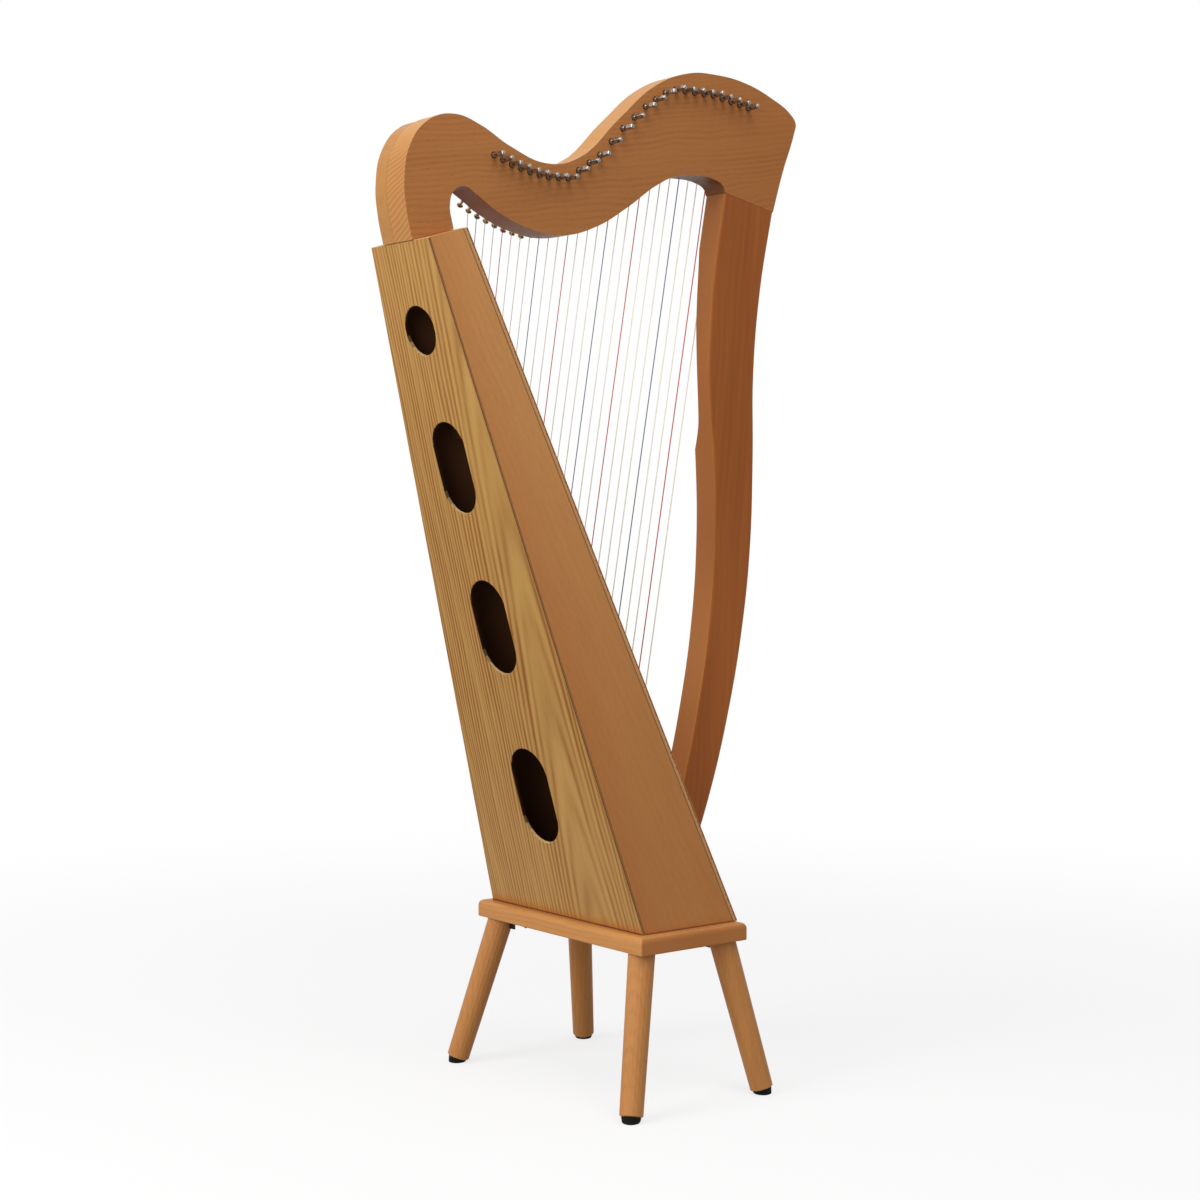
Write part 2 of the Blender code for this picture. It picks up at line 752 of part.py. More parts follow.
def make_mount(label, top, lean, x_sign, y_sign):
    """A steel bracket under the seat: its flange, and a stay that leans with the leg."""
    high = level_plane(top.z)
    mount = slab("leg_mount_" + label, *mount_span(top.x, x_sign, FLANGE_REACH[0]),
                 *mount_span(top.y, y_sign, FLANGE_REACH[1]), level_plane(top.z - FLANGE_THICKNESS), high, STEEL)
    middle = level_plane(top.z - FLANGE_THICKNESS / 2)
    near_leg = (top.y + lean.y * top.z - y_sign * STAY_REACH[1][0], -lean.y)
    inner_side = (top.y - y_sign * STAY_REACH[1][1], 0.0)
    right, left = (near_leg, inner_side) if y_sign < 0 else (inner_side, near_leg)
    stay = slab("stay", *mount_span(top.x, x_sign, STAY_REACH[0]), right, left,
                level_plane(top.z - STAY_DROP), middle, STEEL)
    boolean(mount, stay, "UNION")


def make_leg(label, top, foot):
    """A round tapered leg cut level under the seat, and a rubber foot cut level at the floor."""
    axis = (foot - top).normalized()
    start = top - axis * LEG_TRIM
    length = (foot - start).length
    leg = lathe("leg_" + label, ((LEG_TOP_RADIUS, 0.0), (LEG_FOOT_RADIUS, length - LEG_CHAMFER),
                                 (LEG_FOOT_RADIUS - LEG_CHAMFER, length)), BEECH_LIGHT, 20)
    place(leg, aim(start, foot))
    trim_level(leg, top.z, FAR)

    pad = lathe("foot_" + label, ((FOOT_TOP_RADIUS, GAP), (FOOT_END_RADIUS, FOOT_LENGTH)), RUBBER, 20)
    place(pad, aim(foot, foot + axis))
    trim_level(pad, -FAR, 0.0)
    round_by_weight(pad, FOOT_ROUNDING, 2,
                    lambda edge, near, far: 1.0 if max(near.z, far.z) < GAP else 0.0)
    for item in (leg, pad):
        item.data.shade_smooth()
        item.data.set_sharp_from_angle(angle=math.radians(40))


def make_stool():
    """The seat, and at each corner a steel mount, a leg and a rubber foot."""
    make_seat()
    corners = (("rear_left", -1, 1), ("front_left", 1, 1), ("rear_right", -1, -1), ("front_right", 1, -1))
    for label, x_sign, y_sign in corners:
        hip = Vector((SEAT_X + x_sign * LEG_TOP_SPREAD[0], y_sign * LEG_TOP_SPREAD[1], LEG_TOP_HEIGHT))
        foot = Vector((SEAT_X + x_sign * LEG_FOOT_SPREAD[0] + LEG_FOOT_SHIFT, y_sign * LEG_FOOT_SPREAD[1],
                       FOOT_HEIGHT))
        lean = (foot - hip) / (hip.z - foot.z)
        top = hip + lean * (hip.z - SEAT_TOP + SEAT_THICKNESS + GAP)
        make_mount(label, top, lean, x_sign, y_sign)
        make_leg(label, top, foot)


def make_dowels():
    """Two dowels across the joint of neck and pillar, in bores of their own."""
    joint_start = Vector((JOINT_INNER[0], 0.0, JOINT_INNER[1]))
    joint_end = Vector((JOINT_OUTER[0], 0.0, JOINT_OUTER[1]))
    along = (joint_end - joint_start).normalized()
    normal = Vector((-along.z, 0.0, along.x))
    middle_y = (NECK_RIGHT_Y + NECK_LEFT_Y) / 2
    pillar = bpy.data.objects["pillar"]
    neck = bpy.data.objects["neck"]
    for name, share in DOWEL_SHARES:
        centre = joint_start.lerp(joint_end, share) + Vector((0.0, middle_y, 0.0))
        start = centre - normal * DOWEL_LENGTH / 2
        end = centre + normal * DOWEL_LENGTH / 2
        for board in (neck, pillar):
            bore = lathe("dowel_bore", ((DOWEL_RADIUS + GAP, -0.001),
                                        (DOWEL_RADIUS + GAP, DOWEL_LENGTH + 0.001)), BEECH, 12)
            place(bore, aim(start, end))
            boolean(board, as_cutter(bore), "DIFFERENCE")
        dowel = lathe(name, ((DOWEL_RADIUS - 0.001, 0.0), (DOWEL_RADIUS, 0.001),
                             (DOWEL_RADIUS, DOWEL_LENGTH - 0.001),
                             (DOWEL_RADIUS - 0.001, DOWEL_LENGTH)), BEECH_LIGHT, 12)
        place(dowel, aim(start, end))


def string_radius(number):
    """Strings grow thicker towards the bass."""
    share = (number - 2) / (STRING_COUNT - 1)
    return TREBLE_STRING_RADIUS + share * (BASS_STRING_RADIUS - TREBLE_STRING_RADIUS)


def bridge_matrix(number):
    """Where a bridge pin enters the neck, with +Z out along the pin."""
    groove = bridge_point(number)
    outwards = Vector((0.0, math.cos(BRIDGE_PIN_TILT), -math.sin(BRIDGE_PIN_TILT)))
    reach = (groove.y - NECK_LEFT_Y) / outwards.y
    entry = groove - outwards * reach
    return aim(entry, groove)


def make_bridge_pin(number, name="bridge_pin"):
    """A brass pin with a groove for its string just behind a round head."""
    reach = (STRING_PLANE_Y - NECK_LEFT_Y) / math.cos(BRIDGE_PIN_TILT)
    head = reach + BRIDGE_GROOVE_LENGTH
    profile = (
        (BRIDGE_SHAFT_RADIUS, -BRIDGE_PIN_DEPTH),
        (BRIDGE_SHAFT_RADIUS, reach - BRIDGE_GROOVE_LENGTH),
        (BRIDGE_GROOVE_RADIUS, reach),
        (BRIDGE_SHAFT_RADIUS, head),
        (BRIDGE_HEAD_RADIUS, head + 0.15 * BRIDGE_HEAD_LENGTH),
        (BRIDGE_HEAD_RADIUS, head + 0.7 * BRIDGE_HEAD_LENGTH),
        (0.8 * BRIDGE_HEAD_RADIUS, head + BRIDGE_HEAD_LENGTH),
    )
    return place(lathe(name, profile, BRASS, 8, 50), bridge_matrix(number))


def tube(name, points, radius, sides=6):
    """A round bar along straight runs, mitred where they meet."""
    bm = bmesh.new()
    loops = []
    for index, point in enumerate(points):
        before = (point - points[index - 1]).normalized() if index else None
        after = (points[index + 1] - point).normalized() if index < len(points) - 1 else None
        direction = (before or after) + (after or before)
        direction.normalize()
        across = direction.cross(Vector((0.0, 1.0, 0.0))).normalized()
        up = across.cross(direction).normalized()
        loop = []
        for side in range(sides):
            angle = math.tau * side / sides
            offset = (across * math.cos(angle) + up * math.sin(angle)) * radius
            loop.append(bm.verts.new(point + offset))
        loops.append(loop)
    for near, far in zip(loops, loops[1:]):
        for side in range(sides):
            after = (side + 1) % sides
            bm.faces.new((near[side], near[after], far[after], far[side]))
    bm.faces.new(loops[0])
    bm.faces.new(list(reversed(loops[-1])))
    return add(name, mesh_from(bm, name), NYLON)


def string_path(number):
    """A string from inside the rib, past its bridge pin, to its tuning pin."""
    radius = string_radius(number)
    foot = soundboard_point(number, -GAP - RIB_THICKNESS / 2)
    groove = bridge_point(number)
    beside = groove - Vector((BRIDGE_GROOVE_RADIUS + 0.6 * radius, 0.0, 0.0))
    centre = tuning_pin_point(number - 1)
    centre.y = NECK_LEFT_Y + PIN_COIL_START + PIN_TURNS * radius
    upwards = (centre - beside).normalized()
    forward = Vector((upwards.z, 0.0, -upwards.x)).normalized()
    end = centre + forward * (PIN_RADIUS + 3 * radius + GAP)
    return foot, beside, end


def make_strings():
    """The string rib with its strings, each over its bridge pin, as one piece."""
    half = RIB_FOOT_HALF_WIDTH - RIB_SLOPE * RIB_FOOT_Z
    rib = slab("strings", front_plane(-GAP), front_plane(-GAP - RIB_THICKNESS), (-half, -RIB_SLOPE),
               (half, RIB_SLOPE), level_plane(RIB_FOOT_Z), top_plane(RIB_TOP_DROP), BEECH_LIGHT)
    tubes = []
    pins = []
    for number in range(2, STRING_COUNT + 2):
        tubes.append(tube("string", string_path(number), string_radius(number)))
        pins.append(make_bridge_pin(number))
    boolean(rib, join("string_runs", tubes), "UNION")
    boolean(rib, join("bridge_pins", pins), "UNION")
    rib.data.shade_smooth()
    rib.data.set_sharp_from_angle(angle=math.radians(50))
    make_bridge_pin(1, "bridge_pin_unstrung")
    return rib


def pin_ring(bm, y, size, is_square):
    """One ring of a tuning pin's faces: round, or square with its corners cut."""
    ring = []
    for side in range(PIN_SIDES):
        angle = math.tau * side / PIN_SIDES
        reach = size
        if is_square:
            reach = min(size / max(abs(math.cos(angle)), abs(math.sin(angle))), size * PIN_CORNER)
        ring.append(bm.verts.new((reach * math.cos(angle), y, reach * math.sin(angle))))
    return ring


def make_tuning_pins():
    """Pins with a square tapered head on the right and their wound string on the left."""
    head_tip = NECK_RIGHT_Y - PIN_HEAD_LENGTH
    head_foot = NECK_RIGHT_Y - PIN_COLLAR_LENGTH
    winding = NECK_LEFT_Y + PIN_COIL_START
    tail = NECK_LEFT_Y + PIN_TAIL_LENGTH
    for number in range(1, STRING_COUNT + 1):
        wire = 2 * string_radius(number + 1)
        unwound = winding + PIN_TURNS * wire
        stations = (
            (head_tip, PIN_HEAD_TIP - PIN_CHAMFER, True),
            (head_tip + PIN_CHAMFER, PIN_HEAD_TIP, True),
            (head_foot - PIN_CHAMFER, PIN_HEAD_FOOT, True),
            (head_foot, PIN_RADIUS, False),
            (winding - PIN_CHAMFER, PIN_RADIUS, False),
            (winding, PIN_RADIUS + wire, False),
            (unwound, PIN_RADIUS + wire, False),
            (unwound + PIN_CHAMFER, PIN_RADIUS, False),
            (tail - PIN_CHAMFER, PIN_RADIUS, False),
            (tail, PIN_RADIUS - PIN_CHAMFER, False),
        )
        bm = bmesh.new()
        rings = [pin_ring(bm, *station) for station in stations]
        for near, far in zip(rings, rings[1:]):
            for side in range(PIN_SIDES):
                after = (side + 1) % PIN_SIDES
                bm.faces.new((near[side], near[after], far[after], far[side]))
        bm.faces.new(rings[0])
        bm.faces.new(list(reversed(rings[-1])))
        pin = add("tuning_pin_%02d" % number, mesh_from(bm, "tuning_pin"), NICKEL, 35)
        pin.location = tuning_pin_point(number)


make_sound_box()
make_stool()
make_neck()
make_shoulder_block()
make_pillar()
make_dowels()
make_strings()
make_tuning_pins()
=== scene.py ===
"""Dresses a floor harp with 27 strings: wood, brass, nickel and nylon, in a pale studio.

Lengths are metres in the harp's own frame: +X runs from the sound box to the
pillar, +Y is the player's left, and +Z is up from the floor.
"""

import logging
import math
from dataclasses import dataclass, field
from enum import Enum
from typing import Any, Iterable, Sequence

import bmesh
import bpy
import numpy as np
from mathutils import Matrix, Vector


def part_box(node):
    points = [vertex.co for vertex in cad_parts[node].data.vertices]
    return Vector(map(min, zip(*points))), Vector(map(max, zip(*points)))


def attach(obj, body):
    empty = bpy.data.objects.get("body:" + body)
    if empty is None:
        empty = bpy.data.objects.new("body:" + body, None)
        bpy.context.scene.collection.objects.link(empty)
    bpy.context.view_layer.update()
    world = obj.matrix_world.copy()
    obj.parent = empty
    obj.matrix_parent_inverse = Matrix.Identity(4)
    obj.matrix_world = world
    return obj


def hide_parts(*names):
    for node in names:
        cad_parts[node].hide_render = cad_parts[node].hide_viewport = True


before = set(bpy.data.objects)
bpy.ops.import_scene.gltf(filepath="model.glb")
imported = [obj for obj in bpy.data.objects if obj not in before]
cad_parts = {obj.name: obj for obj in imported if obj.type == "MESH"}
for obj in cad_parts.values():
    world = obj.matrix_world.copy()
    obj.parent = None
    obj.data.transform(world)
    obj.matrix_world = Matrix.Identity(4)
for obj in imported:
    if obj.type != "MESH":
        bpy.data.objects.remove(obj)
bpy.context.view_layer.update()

Colour = tuple[float, float, float]
Number = float | int
log = logging.getLogger("harp")


class Corner(Enum):
    """The stool's four corners, with the side in X and Y that each is on."""

    REAR_LEFT = ("rear_left", -1, 1)
    REAR_RIGHT = ("rear_right", -1, -1)
    FRONT_LEFT = ("front_left", 1, 1)
    FRONT_RIGHT = ("front_right", 1, -1)

    @property
    def label(self) -> str:
        """The corner's name in the nodes' names."""
        return self.value[0]


class StringColour(Enum):
    """Harp strings are coloured by note, so that the player finds C and F."""

    C_RED = "c_red"
    F_BLUE = "f_blue"
    CLEAR = "clear"

    @classmethod
    def of(cls, number: int) -> "StringColour":
        """The colour of the string with this number, counted from the treble."""
        place = number % 7
        if place == 6:
            return cls.C_RED
        if place == 3:
            return cls.F_BLUE
        return cls.CLEAR


def srgb(red: int, green: int, blue: int) -> Colour:
    """Linear light from a colour written in the usual 0 to 255 steps.

    Args:
        red: The red step.
        green: The green step.
        blue: The blue step.

    Returns:
        The three linear values, from 0 to 1.
    """
    linear = []
    for step in (red, green, blue):
        share = step / 255
        linear.append(share / 12.92 if share <= 0.04045 else ((share + 0.055) / 1.055) ** 2.4)
    return (linear[0], linear[1], linear[2])


class Value:
    """A number that varies over a surface, written with ordinary operators."""

    def __init__(self, shader: "Shader", socket: bpy.types.NodeSocket) -> None:
        """Wrap one output socket of a shader."""
        self.shader = shader
        self.socket = socket

    def _with(self, operation: str, *others: "Value | Number", first: "Value | Number | None" = None) -> "Value":
        """Add a Math node on this value and the others, or on first and this value."""
        values = [self, *others] if first is None else [first, self]
        return self.shader.math(operation, *values)

    def __add__(self, other: "Value | Number") -> "Value":
        """This value plus another."""
        return self._with("ADD", other)

    def __radd__(self, other: Number) -> "Value":
        """A number plus this value."""
        return self._with("ADD", other)

    def __sub__(self, other: "Value | Number") -> "Value":
        """This value minus another."""
        return self._with("SUBTRACT", other)

    def __rsub__(self, other: Number) -> "Value":
        """A number minus this value."""
        return self._with("SUBTRACT", first=other)

    def __mul__(self, other: "Value | Number") -> "Value":
        """This value times another."""
        return self._with("MULTIPLY", other)

    def __rmul__(self, other: Number) -> "Value":
        """A number times this value."""
        return self._with("MULTIPLY", other)

    def __truediv__(self, other: "Value | Number") -> "Value":
        """This value divided by another."""
        return self._with("DIVIDE", other)

    def __pow__(self, other: "Value | Number") -> "Value":
        """This value to a power."""
        return self._with("POWER", other)

    def __gt__(self, other: "Value | Number") -> "Value":
        """1 where this value is the greater, and 0 elsewhere."""
        return self._with("GREATER_THAN", other)

    def __abs__(self) -> "Value":
        """This value without its sign."""
        return self._with("ABSOLUTE")

    def root(self) -> "Value":
        """The square root of this value."""
        return self._with("SQRT")

    def fraction(self) -> "Value":
        """What is left of this value after its whole part."""
        return self._with("FRACT")

    def sine(self) -> "Value":
        """The sine of this value in radians."""
        return self._with("SINE")

    def between(self, low: Number, high: Number) -> "Value":
        """Rise smoothly from 0 at low to 1 at high."""
        node = self.shader.node(
            "ShaderNodeMapRange",
            {"interpolation_type": "SMOOTHSTEP"},
            {"Value": self, "From Min": low, "From Max": high},
        )
        return Value(self.shader, node.outputs["Result"])


class Shader:
    """One material's nodes, round a single Principled surface."""

    def __init__(self, name: str) -> None:
        """Start a material with this name."""
        self.material = bpy.data.materials.new(name)
        self.material.use_nodes = True
        self.tree = self.material.node_tree
        self.surface = self.tree.nodes["Principled BSDF"]

    @classmethod
    def of_world(cls, world: bpy.types.World) -> "Shader":
        """Work on a world's nodes in the same way."""
        shader = cls.__new__(cls)
        world.use_nodes = True
        shader.tree = world.node_tree
        return shader

    def node(self, kind: str, settings: dict[str, Any] | None = None, inputs: dict[Any, Any] | None = None) -> Any:
        """Make one node.

        Args:
            kind: The node's type name.
            settings: Its own settings, such as a Math node's operation, or a ramp's stops.
            inputs: A number, a colour, a Value or a socket for each input, by name or place.

        Returns:
            The new node.
        """
        made = self.tree.nodes.new(kind)
        for name, value in (settings or {}).items():
            if name == "stops":
                self._set_stops(made.color_ramp, value)
            else:
                setattr(made, name, value)
        for name, value in (inputs or {}).items():
            self.feed(made.inputs[name], value)
        return made

    def _set_stops(self, ramp: bpy.types.ColorRamp, stops: Sequence[tuple[float, Colour]]) -> None:
        """Give a ramp its stops, from left to right."""
        while len(ramp.elements) < len(stops):
            ramp.elements.new(1.0)
        for element, (place, colour) in zip(ramp.elements, stops):
            element.position = place
            element.color = (*colour, 1.0)

    def feed(self, socket: bpy.types.NodeSocket, value: Any) -> None:
        """Link a Value or a socket to an input, or set the input to a constant."""
        if isinstance(value, Value):
            self.tree.links.new(value.socket, socket)
        elif isinstance(value, bpy.types.NodeSocket):
            self.tree.links.new(value, socket)
        elif socket.type == "RGBA":
            socket.default_value = (*value, 1.0)
        else:
            socket.default_value = value

    def math(self, operation: str, *values: Value | Number) -> Value:
        """Add a Math node and return its result."""
        made = self.node("ShaderNodeMath", {"operation": operation}, dict(enumerate(values)))
        return Value(self, made.outputs[0])

    def mix(self, share: Value | Number, first: Any, second: Any) -> bpy.types.NodeSocket:
        """Blend two colours.

        Args:
            share: How much of the second colour shows.
            first: The first colour, or a colour socket.
            second: The second colour, or a colour socket.

        Returns:
            The blended colour's socket.
        """
        made = self.node("ShaderNodeMix", {"data_type": "RGBA"}, {0: share, 6: first, 7: second})
        return made.outputs[2]

    def place(self) -> bpy.types.NodeSocket:
        """Where a surface point is, in metres in its piece's own frame."""
        return self.node("ShaderNodeTexCoord").outputs["Object"]

    def along(self, vector: bpy.types.NodeSocket, direction: Vector, start: Number = 0.0) -> Value:
        """How far a point lies along a direction, less the start.

        Args:
            vector: The point's socket.
            direction: A direction of unit length.
            start: The distance to take off.

        Returns:
            The distance in metres.
        """
        made = self.node("ShaderNodeVectorMath", {"operation": "DOT_PRODUCT"}, {0: vector, 1: tuple(direction)})
        distance = Value(self, made.outputs["Value"])
        return distance - start if start else distance

    def noise(self, parts: Sequence[Value | Number], detail: Number = 2.0, rough: Number = 0.5) -> Value:
        """Smooth noise from 0 to 1, at a point whose three parts are already scaled."""
        point = self.node("ShaderNodeCombineXYZ", None, dict(enumerate(parts)))
        made = self.node(
            "ShaderNodeTexNoise",
            None,
            {"Vector": point.outputs[0], "Scale": 1.0, "Detail": detail, "Roughness": rough},
        )
        return Value(self, made.outputs[0])

    def bump(self, height: Value, distance: Number, strength: Number = 1.0) -> None:
        """Let a height from 0 to 1 raise the surface by at most a distance."""
        made = self.node("ShaderNodeBump", None, {"Height": height, "Distance": distance, "Strength": strength})
        self.feed(self.surface.inputs["Normal"], made.outputs[0])

    def set(self, **inputs: Any) -> None:
        """Set or link the surface's own sockets, named with underscores for spaces."""
        for name, value in inputs.items():
            self.feed(self.surface.inputs[name.replace("_", " ").title().replace("Ior", "IOR")], value)


@dataclass(frozen=True)
class Layers:
    """Plies that show on a board's edges: where each begins, and its colour, with painted light on edges that face
    up and painted shade on the sound holes' walls.
    """

    outward: tuple[float, float, float]
    face_at: float
    depth: float
    stops: tuple[tuple[float, Colour], ...]
    upper: Colour
    ticks: float = 0.10
    hole_half_width: float = 0.0
    shaded_hole_wall: Colour = (0.0, 0.0, 0.0)

    def over(self, shader: Shader, point: Any, face: Any, ticks: Value) -> Any:
        """Show the plies where the surface doesn't face along the board's normal.

        Args:
            shader: The material's nodes.
            point: The surface point's socket.
            face: The colour of the board's face.
            ticks: Noise that breaks the plies up along the board.

        Returns:
            The colour's socket.
        """
        outward = Vector(self.outward).normalized()
        normal = shader.node("ShaderNodeNewGeometry").outputs["Normal"]
        facing = abs(shader.along(normal, outward))
        depth = shader.along(point, outward, self.face_at) * (-1.0 / self.depth)
        ramp = shader.node(
            "ShaderNodeValToRGB",
            {"stops": self.stops},
            {0: depth + (ticks - 0.5) * self.ticks},
        )
        edge = ramp.outputs[0]
        # painted shade: the sound holes' walls take a dark colour
        if self.hole_half_width:
            sideways = abs(shader.along(point, Vector((0.0, 1.0, 0.0)))) / self.hole_half_width
            edge = shader.mix(sideways.between(1.02, 1.08), self.shaded_hole_wall, edge)
        # painted light: edges that face up turn lighter, as if lit from above
        rising = shader.along(normal, Vector((0.0, 0.0, 1.0))).between(0.02, 0.80)
        edge = shader.mix(rising, edge, self.upper)
        return shader.mix(facing.between(0.60, 0.80), edge, face)


@dataclass(frozen=True)
class Blush:
    """Another tone that fades out at a distance from one plane."""

    colour: Colour
    inward: tuple[float, float, float]
    plane_at: float
    reach: float
    share: float = 0.5
    unevenness: float = 0.9

    def over(self, shader: Shader, point: Any, face: Any, cloud: Value) -> Any:
        """Tint a colour near the plane.

        Args:
            shader: The material's nodes.
            point: The surface point's socket.
            face: The colour to tint.
            cloud: Noise that makes the tint's border soft and uneven.

        Returns:
            The colour's socket.
        """
        distance = shader.along(point, Vector(self.inward), self.plane_at) / self.reach
        near = 1.0 - (distance + (cloud - 0.5) * self.unevenness).between(0.0, 1.0)
        return shader.mix(near * self.share, face, self.colour)


@dataclass(frozen=True)
class Facing:
    """Another tone where a board's surface faces one way, plain or as slanting ripples: the wood's own end grain
    and figure, or painted light and shade on faces turned towards or away from the lamps.
    """

    colour: Colour
    direction: tuple[float, float, float]
    share: float = 1.0
    start: float = 0.5
    full: float = 0.8
    towards: tuple[float, float, float] = (0.0, 0.0, 1.0)
    reach: tuple[float, float] | None = None
    ripple: float = 0.0
    ripple_across: tuple[float, float, float] = (0.0, 0.0, 1.0)

    def over(self, shader: Shader, point: Any, face: Any, cloud: Value) -> Any:
        """Tint a colour where the surface faces that way.

        Args:
            shader: The material's nodes.
            point: The surface point's socket.
            face: The colour to tint.
            cloud: Noise that bends the ripples.

        Returns:
            The colour's socket.
        """
        normal = shader.node("ShaderNodeNewGeometry").outputs["Normal"]
        share = shader.along(normal, Vector(self.direction)).between(self.start, self.full) * self.share
        if self.reach:
            share = share * shader.along(point, Vector(self.towards)).between(*self.reach)
        if self.ripple:
            across = shader.along(point, Vector(self.ripple_across).normalized())
            share = share * (((across / self.ripple + cloud * 3.5) * math.tau).sine() * 0.5 + 0.5)
        return shader.mix(share, face, self.colour)


@dataclass(frozen=True)
class Wood:
    """A lacquered wood with growth rings round a pith, fibres and short flecks."""

    name: str
    early: Colour
    late: Colour
    along: tuple[float, float, float]
    pith: tuple[float, float, float]
    ring: float = 0.0035
    line_share: float = 0.30
    sharpness: float = 2.5
    wander: float = 1.0
    wander_length: float = 0.16
    fibre_share: float = 0.20
    streak_share: float = 0.25
    fleck_share: float = 0.20
    cloud_share: float = 0.25
    second_share: float = 0.0
    band_share: float = 0.0
    band_width: float = 0.0105
    roughness: float = 0.42
    relief: float = 0.00004
    layers: Layers | None = None
    blushes: tuple[Blush, ...] = ()
    facings: tuple[Facing, ...] = ()

    def axes(self) -> tuple[Vector, Vector, Vector]:
        """Two directions across the grain, and the one along it."""
        grain = Vector(self.along).normalized()
        helper = Vector((0.0, 1.0, 0.0)) if abs(grain.y) < 0.9 else Vector((0.0, 0.0, 1.0))
        first = grain.cross(helper).normalized()
        return first, grain.cross(first).normalized(), grain

    def rings(self, shader: Shader, a: Value, b: Value, c: Value) -> Value:
        """How many rings lie between the pith and a point.

        Args:
            shader: The material's nodes.
            a: The point's place across the grain, from the pith.
            b: Its place across the grain the other way, from the pith.
            c: Its place along the grain.

        Returns:
            The count, with a fraction.
        """
        slow = shader.noise((a * 9.0, b * 9.0, c / self.wander_length), 2.0)
        return (a * a + b * b).root() / self.ring + (slow - 0.5) * (4.0 * self.wander)

    def strength(self, shader: Shader, a: Value, b: Value, c: Value) -> Value:
        """How strongly the rings' dark lines show at a point, with the rings' arguments."""
        return shader.noise((a * 70.0, b * 70.0, c * 5.0), 2.0).between(0.25, 0.70) * 0.75 + 0.25

    def material(self) -> bpy.types.Material:
        """Build the wood's material."""
        shader = Shader(self.name)
        point = shader.place()
        first, second, grain = self.axes()
        pith = Vector(self.pith)
        a = shader.along(point, first, pith.dot(first))
        b = shader.along(point, second, pith.dot(second))
        c = shader.along(point, grain, pith.dot(grain))
        rings = self.rings(shader, a, b, c) * math.tau
        wave = rings.sine() * 0.5 + 0.5
        line = wave ** self.sharpness * self.strength(shader, a, b, c)
        fibre = shader.noise((a * 1900.0, b * 1900.0, c * 40.0), 3.0, 0.6)
        streak = shader.noise((a * 430.0, b * 430.0, c * 7.0), 3.0, 0.6)
        fleck = shader.noise((a * 900.0, b * 900.0, c * 190.0), 1.0).between(0.60, 0.74)
        cloud = shader.noise((a * 14.0, b * 14.0, c * 2.6), 2.0)
        dark = line * self.line_share + (streak - 0.5) * (2.0 * self.streak_share)
        if self.second_share:
            dark = dark + ((rings * 0.5).sine() * 0.5 + 0.5) * self.second_share
        if self.band_share:
            bands = shader.noise((a / self.band_width, b / self.band_width, c * 3.5), 1.0)
            dark = dark + (bands - 0.5) * (2.0 * self.band_share)
        dark = dark + (fibre - 0.5) * (2.0 * self.fibre_share) + fleck * self.fleck_share
        dark = dark + (cloud - 0.5) * (2.0 * self.cloud_share) + 0.30
        clamped = shader.node("ShaderNodeClamp", None, {"Value": dark})
        colour = shader.mix(Value(shader, clamped.outputs[0]), self.early, self.late)
        for blush in self.blushes:
            colour = blush.over(shader, point, colour, cloud)
        if self.layers:
            ticks = shader.noise((a * 300.0, b * 300.0, c * 420.0), 1.0)
            colour = self.layers.over(shader, point, colour, ticks)
        for facing in self.facings:
            colour = facing.over(shader, point, colour, cloud)
        shader.set(
            base_color=colour,
            roughness=self.roughness + (fibre - 0.5) * 0.16 + line * 0.05,
            specular_ior_level=0.15,
        )
        shader.bump(1.0 - (line * 0.5 + fibre * 0.5), self.relief)
        return shader.material


@dataclass(frozen=True)
class ArchedVeneer(Wood):
    """A sliced veneer, whose rings make pointed arches one above another.

    The pith is a point on the arches' middle line, at the foot of the panel.
    """

    slice_depth: float = 0.070
    arch_length: float = 0.11
    slant: float = 0.022
    flank_at: float = 0.045

    def rings(self, shader: Shader, a: Value, b: Value, c: Value) -> Value:
        """Count the rings across the panel and up it.

        Args:
            shader: The material's nodes.
            a: The point's depth in the panel.
            b: Its place across the panel, from the arches' middle.
            c: Its place up the panel.

        Returns:
            The count, with a fraction.
        """
        slow = shader.noise((a, b * 22.0, c / self.wander_length), 2.0)
        quick = shader.noise((a, b * 60.0, c * 22.0), 2.0)
        across = b - c * self.slant + (slow - 0.5) * 0.016 + (quick - 0.5) * 0.0016
        reach = (across * across + self.slice_depth ** 2).root()
        return reach / self.ring + c / self.arch_length

    def strength(self, shader: Shader, a: Value, b: Value, c: Value) -> Value:
        """The lines are weaker where the arches are wide, near their middle line."""
        flank = abs(b - c * self.slant).between(0.005, self.flank_at) * 0.6 + 0.4
        return super().strength(shader, a, b, c) * flank


@dataclass(frozen=True)
class Metal:
    """A metal with fine turning marks or brushing, and a little tarnish."""

    name: str
    bright: Colour
    dull: Colour
    roughness: float
    metallic: float = 1.0
    marks: float = 5200.0
    relief: float = 0.00002

    def material(self) -> bpy.types.Material:
        """Build the metal's material."""
        shader = Shader(self.name)
        point = shader.place()
        x = shader.along(point, Vector((1.0, 0.0, 0.0)))
        y = shader.along(point, Vector((0.0, 1.0, 0.0)))
        z = shader.along(point, Vector((0.0, 0.0, 1.0)))
        marks = shader.noise((x * 60.0, y * 60.0, z * self.marks), 2.0)
        tarnish = shader.noise((x * 420.0, y * 420.0, z * 420.0), 3.0)
        shader.set(
            base_color=shader.mix(tarnish.between(0.35, 0.75), self.bright, self.dull),
            metallic=self.metallic,
            roughness=self.roughness + (tarnish - 0.5) * 0.22,
        )
        shader.bump(marks, self.relief)
        return shader.material


